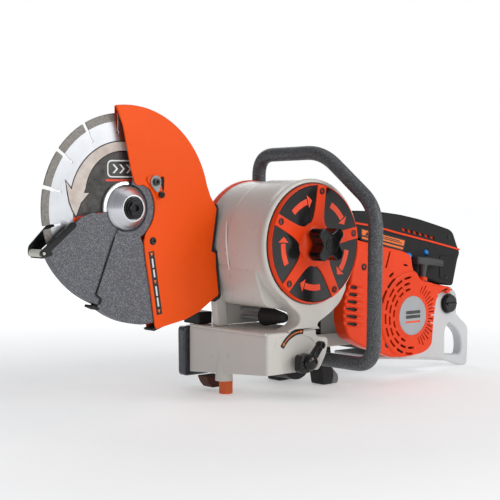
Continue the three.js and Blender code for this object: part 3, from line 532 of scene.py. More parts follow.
def sweep(path, radius, sides=36, squeeze=(1.0, 1.0)):
    """A closed tube along a path of points; radius may be a list, one for each point."""
    bm = bmesh.new()
    path = [Vector(p) for p in path]
    radii = radius if isinstance(radius, list) else [radius] * len(path)
    tangent = (path[1] - path[0]).normalized()
    side = tangent.orthogonal().normalized()
    rings = []
    for i, point in enumerate(path):
        new = (path[min(i + 1, len(path) - 1)] - path[max(i - 1, 0)]).normalized()
        side = (tangent.rotation_difference(new) @ side).normalized()
        tangent = new
        up = tangent.cross(side)
        rings.append([bm.verts.new(point + radii[i] * (squeeze[0] * math.cos(a) * side + squeeze[1]
            * math.sin(a) * up)) for a in (2 * math.pi * k / sides for k in range(sides))])
    for a, b in zip(rings, rings[1:]):
        for i in range(sides):
            bm.faces.new((a[i], a[(i + 1) % sides], b[(i + 1) % sides], b[i]))
    bm.faces.new(rings[0][::-1])
    bm.faces.new(rings[-1])
    bmesh.ops.recalc_face_normals(bm, faces=bm.faces)
    return bm


def prism(corners):
    """A block from its four lower and four upper corners."""
    bm = bmesh.new()
    v = [bm.verts.new(c) for c in corners]
    for face in ((0, 1, 2, 3), (4, 5, 6, 7), (0, 1, 5, 4), (1, 2, 6, 5), (2, 3, 7, 6), (3, 0, 4, 7)):
        bm.faces.new([v[i] for i in face])
    bmesh.ops.recalc_face_normals(bm, faces=bm.faces)
    return bm


def block(xs, ys, zs, edge=0.0, steps=3):
    flat = rect(xs[0], xs[1], ys[0], ys[1])
    bm = prism([(*p, zs[0]) for p in flat] + [(*p, zs[1]) for p in flat])
    if edge:
        bmesh.ops.bevel(bm, geom=bm.edges[:], offset=edge, segments=steps, profile=0.5, affect="EDGES")
    return bm


def merge(*parts):
    whole = bmesh.new()
    for part in parts:
        mesh = bpy.data.meshes.new("part")
        part.to_mesh(mesh)
        part.free()
        whole.from_mesh(mesh)
        bpy.data.meshes.remove(mesh)
    return whole


def loose(bm, name):
    mesh = bpy.data.meshes.new(name)
    bm.to_mesh(mesh)
    bm.free()
    obj = bpy.data.objects.new(name, mesh)
    scene.collection.objects.link(obj)
    return obj


def boolean(bm, tools, operation):
    """bm after the operation with each tool in turn; the inputs are used up."""
    for tool in tools:
        obj, cutter = loose(bm, "body"), loose(tool, "cutter")
        modifier = obj.modifiers.new("boolean", "BOOLEAN")
        modifier.solver = "EXACT"
        modifier.operation = operation
        modifier.object = cutter
        bm = evaluated(obj)
        mesh = cutter.data
        bpy.data.objects.remove(cutter)
        bpy.data.meshes.remove(mesh)
    return bm


def cut(bm, *tools):
    return boolean(bm, tools, "DIFFERENCE")


def fuse(bm, *tools):
    return boolean(bm, tools, "UNION")


def lean(bm):
    """Tilts a body laid out about the crank centre back with the power head."""
    matrix = Matrix.Translation((CRANK[0], 0, CRANK[1])) @ Matrix.Rotation(HEAD_TILT, 4, "Y")
    bmesh.ops.transform(bm, matrix=matrix, verts=bm.verts)
    return bm


# ---- pieces ----
def place(name, bm, material, replaces=(), body="frame", sharp=30.0, weighted=True):
    """Makes the bmesh a finished piece of the frame that rides on body."""
    for v in bm.verts:
        v.co = (v.co + ORIGIN) * MM
    bmesh.ops.remove_doubles(bm, verts=bm.verts, dist=2e-7)
    obj = loose(bm, name)
    mesh = obj.data
    mesh.shade_smooth()
    mesh.set_sharp_from_angle(angle=math.radians(sharp))
    mesh.materials.append(M[material])
    if weighted:
        modifier = obj.modifiers.new("weighted_normal", "WEIGHTED_NORMAL")
        modifier.keep_sharp = True
        modifier.weight = 60
    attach(obj, body)
    if replaces:
        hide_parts(*([replaces] if isinstance(replaces, str) else replaces))
    return obj


def screw(centre, y, radius, height=2.6, sides=6):
    """A socket-head screw that faces -Y, its head's face at y."""
    e = radius * 0.16
    outside = [(0, y + height), (radius, y + height), (radius, y + e), (radius - e * 0.3, y + e * 0.3),
        (radius - e, y)]
    head = lathe([*outside, (0, y)], centre, 32)
    socket = plate(circle(centre, radius * 0.52, sides), y - 1, y + height * 0.55, edge=0.05, steps=0)
    return cut(head, socket)


def printed(name, outline, y, material, depth=0.12, holes=(), body="frame"):
    """A thin printed film whose outer face is at y, facing -Y."""
    return place(name, plate(outline, y, y + depth, holes, edge=0.03, steps=0), material, body=body)


# ---- blade ----
BLADE_R, CORE_R, BORE_R, SEGMENTS = 152.4, 140.0, 12.7, 15
CORE_HALF, SEGMENT_HALF = 1.2, 1.6
FIRST_SLOT, SLOT_HALF = 95, 3.0
KEYHOLE_AT, KEYHOLE_R, KEYHOLE_MOUTH = 121.6, 2.4, 123.8


def turned_point(u, t, degrees):
    """The point u along and t across the ray at this angle from the arbor."""
    c, s = math.cos(math.radians(degrees)), math.sin(math.radians(degrees))
    return (u * c - t * s, u * s + t * c)


def blade():
    pitch = 360 / SEGMENTS
    core_half = math.degrees(SLOT_HALF / CORE_R)
    rim_half = math.degrees(SLOT_HALF / BLADE_R)
    outline, segments = [], []
    for i in range(SEGMENTS):
        start = FIRST_SLOT + i * pitch
        throat = [(CORE_R, -SLOT_HALF), (KEYHOLE_MOUTH, -1.0)]
        throat += arc(KEYHOLE_AT, 0, KEYHOLE_R, -25, -335, 14)
        throat += [(KEYHOLE_MOUTH, 1.0), (CORE_R, SLOT_HALF)]
        outline += [turned_point(u, t, start) for u, t in throat]
        outline += arc(0, 0, CORE_R, start + core_half, start + pitch - core_half, 12)[1:-1]
        rim = arc(0, 0, BLADE_R, start + rim_half, start + pitch - rim_half, 12)
        foot = arc(0, 0, CORE_R - 0.8, start + pitch - core_half, start + core_half, 12)
        segments.append(rounded_ends(rim, foot))
    core = plate(outline, -CORE_HALF, CORE_HALF, [circle(ARBOR, BORE_R, 48)], edge=0.15, steps=1)
    place("blade_core", core, "core", "diamond_blade", body="blade")
    rims = plate(segments, -SEGMENT_HALF, SEGMENT_HALF, edge=0.35, steps=2)
    place("blade_rim_segments", rims, "segment", "diamond_blade", body="blade")


def rounded_ends(rim, foot):
    """A rim segment's outline, with the two outer corners cut back."""
    shape = [*rim, *foot]
    corners = {0, len(rim) - 1}
    out = []
    for i, corner in enumerate(shape):
        if i not in corners:
            out.append(corner)
            continue
        here, before, after = Vector(corner), Vector(shape[i - 1]), Vector(shape[(i + 1) % len(shape)])
        start = here + (before - here).normalized() * 1.2
        end = here + (after - here).normalized() * 1.2
        out += [tuple(start), tuple((start + end) / 4 + here / 2), tuple(end)]
    return out


def grown(points, distance):
    """The closed outline moved outward by distance, with its corners kept."""
    area = sum(a[0] * b[1] - b[0] * a[1] for a, b in zip(points, points[1:] + points[:1]))
    sign = 1 if area > 0 else -1
    out = []
    for i, corner in enumerate(points):
        here, before, after = Vector(corner), Vector(points[i - 1]), Vector(points[(i + 1) % len(points)])
        first, second = (here - before).normalized(), (after - here).normalized()
        normals = [Vector((v.y, -v.x)) * sign for v in (first, second)]
        middle = (normals[0] + normals[1]).normalized()
        out.append(tuple(here + middle * distance / max(0.45, middle.dot(normals[0]))))
    return out


def arrow_band(turn):
    """A curved arrow about the arbor, its tip at 187 degrees plus turn."""
    outer = [polar(106.4 - 4.3 * ((a - 95) / 68) ** 2, a + turn) for a in range(35, 164, 4)]
    head = [polar(116.0, 158.5 + turn), polar(108.5, 165.5 + turn), polar(102.6, 173.7 + turn),
        polar(96.0, 181.5 + turn), polar(90.8, 187.2 + turn), polar(81.5, 173.5 + turn),
        polar(70.0, 159.4 + turn), polar(79.4, 162.0 + turn)]
    inner = [polar(92.2 - 13.2 * ((a - 90) / 66) ** 2, a + turn) for a in range(156, 34, -4)]
    return [*outer, *head, *inner]


def blade_label():
    face = -CORE_HALF
    printed("blade_label_dark", [*arc(0, 0, 96, 8, 188, 60)], face - 0.06, "ink_dark", body="blade")
    printed("blade_label_orange", [*arc(0, 0, 97, 188, 368, 60)], face - 0.06, "ink_orange",
        body="blade")
    for i, turn in enumerate((0, 180)):
        printed(f"blade_arrow_edge_{i}", grown(arrow_band(turn), 2.0), face - 0.1, "ink_black",
            body="blade")
        printed(f"blade_arrow_{i}", arrow_band(turn), face - 0.16, "ink_beige", body="blade")
    chevrons = [[(x, 56), (x + 7, 63), (x, 70), (x + 4, 70), (x + 11, 63), (x + 4, 56)] for x in (-21, -8, 5)]
    printed("blade_turn_marks", chevrons, face - 0.14, "ink_pale", body="blade")
    frame_out = rounded(rect(-31, 31, 49, 77), 9)
    frame_in = rounded(rect(-28.8, 28.8, 51.2, 74.8), 7.5)
    printed("blade_turn_frame", frame_out, face - 0.14, "ink_pale", body="blade", holes=[frame_in])
    printed("blade_label_bar", rect(-34, 16, 43, 46.2), face - 0.14, "ink_orange", body="blade")


def blade_hub():
    bowl = [(13, -1.5), (42.4, -1.5), (43, -2.1), (43, -6.4), (42.2, -7.6), (40.6, -8.2), (37.9, -8.8),
        (37.4, -10.0), (36.0, -12.8), (33.2, -16.4), (31.2, -18.6), (30.5, -19.9), (28.4, -22.4),
        (24.8, -26.6), (22.6, -29.0), (21.2, -30.0), (19.9, -30.1), (19.1, -29.7), (18.6, -28.8),
        (18.6, -26), (13, -26)]
    place("blade_flange", lathe(bowl, ARBOR, 128, True), "hub", "outer_flange",
        body="blade")
    washer = lathe(rounded(rect(8, 17.8, -30.2, -26.3), 0.9), ARBOR, 96, True)
    place("arbor_washer_ring", washer, "oxide", "arbor_washer", body="blade")
    head = plate(circle(ARBOR, 12.2, 6), -37.5, -30.7, [circle(ARBOR, 5.4, 6)], edge=1.1, steps=3)
    collar = soft_ring(5.6, 14.4, -32.6, -30.3, ARBOR, 0.7)
    floor_disc = soft_ring(0, 7.7, -33.2, -4, ARBOR, 0.5)
    place("arbor_hex_bolt", merge(head, collar, floor_disc), "oxide", "arbor_bolt",
        body="blade")
    back = [(13, 1.5), (35.4, 1.5), (36, 2.1), (35.6, 5.8), (34.4, 6.4), (22, 9), (13, 9)]
    place("blade_back_flange", lathe(back, ARBOR, 96, True), "steel", "inner_flange",
        body="blade")


# ---- guard ----
def fixed_guard():
    rear = [(168.5, 18), (182, -3), (170.5, -74), (179.5, -77.5), (180, -103), (186, -150)]
    bottom = [(173, -157), (143, -176), (114, -187), (76, -194), (53, -199)]
    front = [(51, -192), (42, -132), (33, -82), (30, -54), (33, -43), (39, -34)]
    scallop = arc(0, 0, 52, -38, 36, 20)
    nose = [*arc(22, 48, 12, -60, -150, 8), (5, 62), (-2, 96), (-10, 132), (-23, 162)]
    outline = [*arc(0, 0, 165, 98, 13, 60), *rounded_open([*rear, *bottom], 4), *front, *scallop, *nose]
    rear_in = [(166.5, 17), (179.8, -4), (168.2, -76), (177.2, -79), (177.9, -104), (183.7, -148.5)]
    bottom_in = [(171, -155), (142, -174), (113, -185), (75.5, -192), (49, -197)]
    cavity = [*arc(0, 0, 163, 105, 14, 60), *rear_in, *bottom_in, (-70, -197), (-70, 160)]
    near, far = GUARD_NEAR, GUARD_FAR
    shell = plate(outline, near, far, edge=1.7, steps=4)
    slot = rounded_hull([(67, 47, 4.2), (66, 30, 4.2)])
    flat = [(-70, -17), (-25, -17), (-7, 13), (-70, 13)]
    slant = prism([(*p, 120) for p in flat] + [(*p, 180) for p in flat])
    shell = cut(shell, plate(cavity, near + 1.9, far - 1.9, edge=0.1, steps=0),
        plate(slot, near - 1, near + 3, edge=0.1, steps=0), cylinder(33, 8, 14, ARBOR, 64), slant,
        plate(rect(160, 200, -52, -70), -9.3, 5.3, edge=0.1, steps=0))
    place("guard_cover", shell, "paint", "guard_shell", sharp=28)

    outer = [(178, 6), (183.6, 3), (185.4, -3), (182.6, -21), (174.6, -70.5), (183.2, -74.5), (184.0, -103),
        (190.0, -151), (187.5, -156), (176, -161)]
    inner = [(173, -156.5), (185.6, -150.4), (179.6, -103.2), (178.8, -78.6), (169.2, -75.2), (181, -3),
        (178, 2)]
    trim = plate(rounded([*outer, *inner], 1.4, 3), near - 0.7, far + 0.7, edge=0.8, steps=3)
    place("guard_edge_trim", trim, "rubber", ["guard_trim_upper", "guard_trim_lower"])
    wiper = plate(rounded([polar(203.0, -77.0), polar(207.6, -76.2), polar(207.2, -71.0),
        polar(202.4, -71.6)], 1.5), near + 0.6, far - 1.2, edge=0.9)
    place("guard_lower_wiper", wiper, "rubber")

    screws = merge(screw((47.5, -54), near - 2.4, 4.4), soft_ring(4.0, 6.4, near - 0.7, near + 0.2,
        (47.5, -54), 0.3, 40))
    place("guard_front_screw", screws, "oxide")
    liner = plate(rounded([(40, 60), (80, 62), (82, 14), (56, 12)], 4), near + 2.2, near + 3.0, edge=0.2)
    place("latch_slot_liner", liner, "rubber")


def rounded_open(points, radius):
    """The open run of points with its inner corners rounded."""
    full = rounded(points, radius, 4)
    return [points[0], *full[5:-5], points[-1]]


def rounded_hull(circles):
    return hull(circles, 32)


def latch():
    near = GUARD_NEAR
    lever = rounded_hull([(*LATCH, 9.5), (62, 21, 5.6), (40, 46, 5)])
    plate_part = plate(lever, near - 2.8, near - 0.3, [circle(LATCH, 4.3, 32)], edge=0.7)
    place("latch_plate", plate_part, "paint", "latch_lever", body="latch")
    pin = merge(soft_ring(0, 5.6, near - 7, near - 2.6, (62, 21), 1.4, 40),
        soft_ring(0, 3.2, near - 8.4, near - 6.8, (62, 21), 0.8, 32))
    place("latch_pin", pin, "gloss_black", body="latch")
    drop = rounded_hull([(*LATCH, 10.6), (54.5, 29.5, 4.2)])
    washer = plate(drop, near - 4.6, near - 3.1, [circle(LATCH, 4.2, 32)], edge=0.5)
    place("latch_washer", washer, "cast")
    bolt = merge(screw(LATCH, near - 8.6, 6.2, 4.2), soft_ring(0, 4, near - 4.6, near + 2, LATCH, 0.3, 32))
    place("latch_socket_bolt", bolt, "oxide", "latch_bolt")


def direction_strip():
    """The black strip along the guard's front edge: triangles and plain bars in place of words."""
    near = GUARD_NEAR
    top, end = Vector((43.9, -70.6)), Vector((60.3, -174.6))
    along = (end - top).normalized()
    across = Vector((-along.y, along.x))
    place_at = lambda u, v: tuple(top + along * u + across * v)
    length = (end - top).length
    strip = [place_at(0, -5.6), place_at(length, -5.6), place_at(length, 5.6), place_at(0, 5.6)]
    printed("direction_strip", rounded(strip, 1), near - 0.12, "ink_black", 0.16)
    marks = [[place_at(u, -2.6), place_at(u, 2.6), place_at(u + 6, 0)] for u in (2.5, 48, 97)]
    printed("direction_marks", marks, near - 0.2, "ink_amber")
    bars = [[place_at(a, -1.5), place_at(b, -1.5), place_at(b, 1.5), place_at(a, 1.5)] for a,
        b in ((12, 27), (30, 43), (58, 74), (77, 92))]
    printed("direction_bars", bars, near - 0.2, "ink_pale")


FRONT_SWING_R, MIDDLE_SWING_R, SWING_WALL = 162.6, 165.6, 1.4
FRONT_OPENING, MIDDLE_OPENING = (62, 188), (78, 241)


def hub_gap(opening, low, high):
    """The sector that opens a hub ring over the opening's degrees."""
    return plate([(0, 0), *arc(*ARBOR, 60, *opening, 24)], low, high, edge=0.1, steps=0)


def segment_shell(outline, near, far, cavity, opening):
    """A hollow guard segment about the arbor; its near hub ring is open over the opening's degrees."""
    shell = fuse(plate(outline, near, far, edge=1.0, steps=3), soft_ring(0, 53, near, far, ARBOR, 1.0))
    hollow = plate(cavity, near + SWING_WALL, far - SWING_WALL, edge=0.1, steps=0)
    bore = cylinder(HUB_BORE, near - 2, far + 2, ARBOR, 96)
    return cut(shell, hollow, hub_gap(opening, near - 2, -3.0), bore)


def swinging_guards():
    step = [(-98, -22), (-86, -13), (-69, -7), (-55, -6), (-44, -9)]
    top = rounded_open([polar(FRONT_SWING_R, -155), *step, (0, 0)], 6)
    front = [*arc(0, 0, FRONT_SWING_R, -93, -155, 48), *top[1:]]
    inside = circle(ARBOR, FRONT_SWING_R - SWING_WALL, 128)
    shell = segment_shell(front, -10.4, 6.0, inside, FRONT_OPENING)
    place("swing_guard_front", shell, "hammer", "guard_segment_front", body="front_guard",
        sharp=28)

    edge = [(-26, -49), (-60, -134), *arc(-58, -145, 6, 70, -80, 10)]
    sweep_points = [(-111, 0), (-102, 8.5), (-92, 17.5), (-82, 25.5), (-74, 29), (-68, 27), (-62, 19)]

    def rim(inset):
        run = []
        for (a0, g0), (a1, g1) in zip(sweep_points, sweep_points[1:]):
            base = MIDDLE_SWING_R + g0
            run += [polar(base + (g1 - g0) * k / 6 - inset, a0 + (a1 - a0) * k / 6) for k in range(6)]
        return [*run, polar(MIDDLE_SWING_R + 19 - inset, -62)]

    middle = [(0, 0), *edge, *rim(0)]
    corner = polar(MIDDLE_SWING_R - SWING_WALL, -125)
    cavity = [(60, 60), (-70, 60), corner, *rim(SWING_WALL), (150, -150)]
    shell = segment_shell(middle, -12.8, 8.4, cavity, MIDDLE_OPENING)
    place("swing_guard_middle", shell, "hammer", "guard_segment_middle", body="middle_guard",
        sharp=28)
    # A thin black strip along the middle segment's leading edge, in the rubber finish: painted shadow of the
    # step onto the front segment.
    seam_shadow_in = [(x - 1.3, z - 0.2) for x, z in edge[:2]] + arc(-58, -145, 7.2, 110, -70, 12)
    seam_shadow_out = arc(-58, -145, 5.4, -75, 70, 12) + [(x + 0.9, z + 0.2) for x, z in edge[1::-1]]
    place("swing_guard_seam_shadow_strip", plate([*seam_shadow_in, *seam_shadow_out], -13.1, -11.6, edge=0.25, steps=1), "rubber",
        body="middle_guard")
    rim = soft_ring(HUB_BORE, 44.0, -14.0, -12.6, ARBOR, 0.5, 128)
    rim = cut(rim, hub_gap(MIDDLE_OPENING, -16, -12))
    place("swing_guard_hub_ring", rim, "hammer", body="middle_guard")
    strip = rounded([polar(165.8, -114.2), polar(170.2, -114.2), polar(170.6, -109.6), polar(166.2, -109.6)],
        1.0)
    place("swing_guard_wiper", plate(strip, -13.6, 9.2, edge=0.6), "rubber",
        "guard_wiper_strip", body="middle_guard")


def roller():
    near_arm = rounded_hull([(-104, -25, 5.4), (*ROLLER, 5.2)])
    far_arm = rounded([(-119, -21), (-126, -22), (-162, -57), (-163, -70), (-156, -75), (-108, -38)], 4)
    panel = [(-139, -70), (-144, -62), (-160, -64), (-158, -75)]
    pin_space = rod((ROLLER[0], -20, ROLLER[1]), (ROLLER[0], 30, ROLLER[1]), 2.8)
    barrel_space = rod((ROLLER[0], -10.7, ROLLER[1]), (ROLLER[0], 20.3, ROLLER[1]), 7, edge=0.1)
    clearance = cylinder(163.4, -10.7, 7, ARBOR, 160)
    bracket = fuse(plate(near_arm, -16.6, -10.7, edge=1.0, steps=3), plate(far_arm, 20.3, 23.8, edge=0.9,
        steps=3), plate(panel, -14, 22.8, edge=1.2))
    bracket = cut(bracket, clearance, barrel_space, pin_space)
    place("roller_arms", bracket, "gloss_black", "roller_bracket", body="front_guard")
    grooves = []
    for y in range(-10, 21, 6):
        grooves += [(6.0, y), (6.0, min(y + 5.2, 19.6)), (5.7, min(y + 5.6, 20))]
    profile = [(0, -16.2), (2.4, -16.2), (2.4, -10.4), (5.2, -10.4), *grooves, (5.2, 20), (2.4, 20),
        (2.4, 23.2), (0, 23.2)]
    place("roller_barrel", lathe(profile, ROLLER, 48), "nylon", "guide_roller", body="roller")


# ---- drum, filter and bin ----
def drum():
    profile = [(101.8, -141.0), (102.4, -142.4), (103.4, -143.0), (105.4, -142.8), (107.4, -141.4),
        (108.5, -139.2), (108.6, -136.6), (108.0, -133.0), (107.0, -129.0), (106.3, -124), (106.0, -118),
        (106.2, -90), (106.2, -50.5), (105.8, -48.4), (104.8, -46.8), (104.2, -44.6), (104.0, -42),
        (104.0, 12.6), (103.2, 14.0), (100.0, 14.0), (100.0, -133.8), (92, -133.8), (92, -141)]
    barrel = lathe(profile, DRUM, 160, True)
    left = [(206, -114), (214, -138), (232, -160), (250, -173), (257, -181), (257, -190), (250, -197),
        (232, -203), (228, -205.1)]
    right = [(304, -205.1), (297, -199), (300, -194), (328, -180), (351, -163), (366, -138), (362, -114)]
    face = [*rounded_open(left, 9), *rounded_open(right, 9)]
    neck = plate(face, DRUM_NEAR - 0.6, DRUM_NEAR + 32, edge=3.2, steps=5)
    neck = cut(neck, cylinder(101.9, -150, -100, DRUM, 128))
    strut = plate(rounded([(186, -120), (207, -120), (217, -205), (193, -205)], 3), -4, 12, edge=2.4, steps=4)
    strut = cut(strut, cylinder(100, -20, 20, DRUM, 96))
    pocket = plate(rect(150, 181.8, -74.4, -107), -18, 13.2, edge=0.2)
    duct = plate(rect(150, 200, -51.2, -70.8), -9.8, 5.8, edge=0.2)
    skirt = plate(rounded([(184, -92), (189, -120), (198, -146), (206, -163), (224, -169), (284, -169),
        (340, -160), (352, -120), (284, -61)], 14), -112, 12, edge=3.0, steps=4)
    skirt = cut(skirt, cylinder(103, -130, 30, DRUM, 128))
    wall = plate([(206, -204), (206, -130), (304, -130), (304, -204)], 4, 12, edge=0.8)
    wall = cut(wall, cylinder(100.6, -20, 20, DRUM, 96))
    shell = cut(fuse(barrel, neck, skirt, strut, wall), pocket, duct)
    place("drum_shell", shell, "white", "drum_housing", sharp=34)
    # A thin tapered rib round the barrel's shoulder in pale ink, lighter than the housing: a painted
    # highlight for the light caught along the crease there.
    highlight_rib_path, radii = [], []
    for k in range(24):
        x, z = polar_at(DRUM, 106.6, 160 + 66 * k / 28)
        highlight_rib_path.append((x, -39.5 - 7 * math.sin(math.pi * min(1, k / 22)) + 3.0 * max(0, k - 18), z))
        radii.append(0.3 + 1.3 * math.sin(math.pi * (k / 24 + 0.04)) ** 0.6)
    place("drum_painted_highlight_rib", sweep(highlight_rib_path, radii, 12), "ink_pale")
    outline_ring = soft_ring(100.9, 101.7, -143.6, -141, DRUM, 0.2, 160)
    place("drum_face_seal", outline_ring, "rubber")
    dish = [(9.2, 14.3), (103.6, 14.3), (105.6, 15.2), (106.4, 17), (106.0, 22), (103.6, 27), (98, 32),
        (90, 36.6), (80, 39.2), (60, 40), (9.2, 40), (9.2, 37), (59, 37), (88, 34.6), (99, 25), (99.6, 17.6),
        (9.2, 17.6)]
    place("drum_back_cover", lathe(dish, DRUM, 128, True), "orange", "drum_back_plate")


SPOKES, SPOKE_PITCH, SPOKE_SCREW = 5, 72, 88.5


def filter_face():
    near = DRUM_NEAR
    cone = [(8.6, near - 8.0), (46, near - 8.2), (96.4, near - 8.6), (97.0, near - 8.0), (97.2, near - 0.4),
        (8.6, near - 0.4)]
    place("filter_face_panel", lathe(cone, DRUM, 128, True), "panel", "filter_panel")
    rim = lathe([(97.4, near - 0.3), (97.4, near - 8.4), (97.8, near - 9.0), (98.4, near - 8.9),
        (100.4, near - 4.4), (100.6, near - 3.4), (100.6, near - 0.3)], DRUM, 160, True)
    dome = [(8.6, -158.6), (22, -158.4), (28, -157.2), (32.6, -154.8), (35.4, -152.2), (37.6, -150.6),
        (38.4, near - 3.2), (8.6, near - 3.2)]
    parts = [rim, lathe(dome, DRUM, 96, True)]
    screws = []
    for i in range(SPOKES):
        angle = 10 + SPOKE_PITCH * i

        def spoke_point(reach, side, angle=angle):
            x, z = turned_point(reach, side, angle)
            return (DRUM[0] + x, DRUM[1] + z)

        side = [(30, 19.0), (35, 15.6), (40, 13.4), (47, 11.6), (58, 10.5), (74, 10.0), (98.4, 9.8)]
        shape = [(u, -v) for u, v in side] + side[::-1]
        spoke = plate([spoke_point(*p) for p in shape], near - 10.4, near - 3.4, edge=1.1, steps=4)
        boss = soft_ring(0, 8.2, near - 10.9, near - 3.6, spoke_point(SPOKE_SCREW, 0), 1.0, 40)
        parts += [spoke, boss]
        screws.append(screw(spoke_point(SPOKE_SCREW, 0), near - 12.0, 4.2, 2.4))
        screws.append(soft_ring(4.6, 5.9, near - 11.1, near - 10.7, spoke_point(SPOKE_SCREW, 0), 0.15, 32))
    place("drum_spoke_cover", fuse(*parts), "orange", "spoke_cover", sharp=34)
    place("drum_cover_screws", merge(*screws), "oxide")
    bars, arrows = [], []
    for i in range(SPOKES):
        mid = 46 + SPOKE_PITCH * i
        bars.append(arc(*DRUM, 78, mid + 16, mid - 12, 12) + arc(*DRUM, 68, mid - 12, mid + 16, 12))
        corners = ((84, mid - 13.5), (73, mid - 21), (62, mid - 13.5))
        arrows.append([polar_at(DRUM, radius, angle) for radius, angle in corners])
    printed("turn_direction_bars", bars, near - 8.9, "ink_orange", 0.5)
    printed("turn_direction_heads", arrows, near - 8.9, "ink_orange", 0.5)


def filter_knob():
    outline = []
    for i in range(192):
        a = 2 * math.pi * i / 192
        swing = math.cos(4 * (a - math.radians(45)))
        radius = 26.0 + 7.6 * max(0.0, swing) ** 0.6 - 7.4 * max(0.0, -swing) ** 0.8
        outline.append((DRUM[0] + radius * math.cos(a), DRUM[1] + radius * math.sin(a)))
    star = plate(outline, -190, -162, edge=2.4, steps=5)
    face = soft_ring(0, 13.2, -191.2, -188, DRUM, 0.9, 64)
    groove = soft_ring(9.4, 10.4, -191.6, -190.6, DRUM, 0.2, 64)
    stem = soft_ring(0, 8, -163, -130, DRUM, 0.6, 48)
    place("filter_knob", cut(fuse(star, face, stem), groove), "gloss_black", "spin_knob",
        body="filter", sharp=34)


def bin_body():
    near, far, top = DRUM_NEAR, 65.0, -205.3
    outline = rounded([(183, top), (296, top), (294.5, -211), (299, -217), (325, -221.5), (319.5, -250),
        (303, -275), (245, -293), (183, -293)], 9, 7)
    body = plate(outline, near, far, edge=5.2, steps=6)
    slope = [(-160, -400), (80, -400), (80, -290), (-160, -272.6)]
    wedge = prism([(150, y, z) for y, z in slope] + [(350, y, z) for y, z in slope])
    dish_profile = [(0, near - 2), (43.5, near - 2), (43.5, near + 0.2), (41.6, near + 2.1), (0, near + 2.1)]
    pocket = cylinder(32.4, -134.3, -61.7, DUMP, 96)
    shaft = cylinder(8.5, -150, -120, DUMP, 48)
    body = cut(body, wedge, lathe(dish_profile, DUMP, 128), pocket, shaft)
    rib_path = [(192.5, -21, z) for z in (-208, -222, -240, -255, -266, -276, -288, -295.6)]
    rib = sweep(rib_path, [8.2, 8.6, 9.6, 11.0, 12.4, 13.6, 15.0, 15.2], 40, (1.0, 1.0))
    lip = sweep([(185.2, y, top - 2.0) for y in (-138, -60, 0, 62)], 2.6, 20)
    body = fuse(body, rib, lip)
    body = cut(body, rod((199, -18, -297.5), (199, -18, -276), 9.5))
    place("dust_bin_body", body, "white", "dust_bin", sharp=34)


def bin_fittings():
    near = DRUM_NEAR
    side = plate(rounded([(173, -209), (235, -209), (235, -297), (174, -297)], 9), 65.4, 84, edge=3.4,
        steps=5)
    place("bin_hammered_side", side, "side_black", "bin_side_plate")
    pad = lathe([(0, 0), (10.6, 0), (11.4, 0.5), (11.7, 1.6), (11.7, 20.6), (11.2, 22.2), (9.2, 22.6),
        (9.2, 40), (0, 40)], (0, 0), 64)
    place("front_rest_foot", aim(pad, (199, -18, GROUND_Z), (199, -18, -278)), "boot_orange",
        "front_foot")
    skid = plate(rounded([(180, -292), (216, -292), (216, -313), (194, -313), (186, -304)], 3), 12, 38,
        edge=2.2)
    place("bin_skid", skid, "brown_rubber")
    ribs = [(0, -111), (4, -111), (6.4, -110.4), (7.4, -109)]
    for k in range(5):
        y = -106 + k * 8.8
        r = 8.4 + k * 1.7
        ribs += [(r, y), (r + 0.9, y + 2.8), (r + 1.2, y + 5.6), (r + 1.1, y + 7.8)]
    ribs += [(17.4, -61.6), (17.4, -58.8), (16.8, -58), (0, -58)]
    seat = (253, -186)
    rods = [rod((253, -59, z), (253, 3.8, z), 4, edge=0.5) for z in (-178, -192)]
    place("boot_rods", merge(*rods), "steel")
    place("isolator_bellows", lathe(ribs, seat, 64), "rubber", "isolator_boot")

    base = block((184, 214), (37, 81), (-204.5, -183), 2.5)
    place("bin_pivot_block", base, "black")
    arc_plate = arc(*DUMP, 45.2, 149, 84, 20) + arc(*DUMP, 54.2, 84, 149, 20)
    printed("dump_arc_plate", rounded(arc_plate, 0.8, 2), near - 0.3, "ink_black", 0.4)
    line = arc(*DUMP, 49.0, 140, 92, 16) + arc(*DUMP, 50.4, 92, 140, 16)
    heads = [[polar_at(DUMP, 47.0, a), polar_at(DUMP, 52.4, a), polar_at(DUMP, 49.7, b)] for a,
        b in ((140, 146), (92, 86))]
    printed("dump_arc_marks", [line, *heads], near - 0.42, "ink_amber")

    body = soft_ring(0, 32, -134, -62, DUMP, 2.2, 96)
    scoop = plate(rect(237, 281, -254, -200), -128, -68, edge=0.4)
    barrel = cut(body, scoop, rod((DUMP[0], -140, DUMP[1]), (DUMP[0], -126, DUMP[1]), 8.3))
    place("dump_valve_barrel", barrel, "black", "dump_barrel", body="dump_valve")
    hub = lathe([(0, -174.2), (5, -173.8), (9.4, -172.4), (12.4, -170.0), (13.8, -166.8), (14.2, -162),
        (14.2, -148), (13.4, -145.6), (9, -144.4), (8, -144.2), (8, -128), (0, -128)], DUMP, 64)
    tip = (DUMP[0] + 24.5, DUMP[1] + 27)
    arm = plate(rounded_hull([(DUMP[0] + 4, DUMP[1] + 4, 6.8), (*tip, 5.6)]), -168.5, -157, edge=2.6, steps=5)
    knuckle = soft_ring(0, 6.6, -170, -156.5, tip, 3.0, 48)
    grip = rounded_hull([(DUMP[0] - 15, DUMP[1] + 7, 6.5), (DUMP[0] - 15.5, DUMP[1] - 10, 6.5),
        (DUMP[0] - 4, DUMP[1] - 12, 5)])
    rear = plate(grip, -165.5, -149, edge=2.0, steps=4)
    grooves = [plate(hull([(DUMP[0] - 14, DUMP[1] + k, 0.7), (DUMP[0] - 24, DUMP[1] + k * 1.2, 0.7)], 12),
        -167, -164, edge=0.2) for k in (-9, -3.5, 2)]
    lever = cut(fuse(hub, arm, knuckle, rear), *grooves)
    place("dump_valve_lever", lever, "gloss_black", "dump_lever", body="dump_valve",
        sharp=34)


def polar_at(centre, radius, degrees):
    x, z = polar(radius, degrees)
    return (centre[0] + x, centre[1] + z)


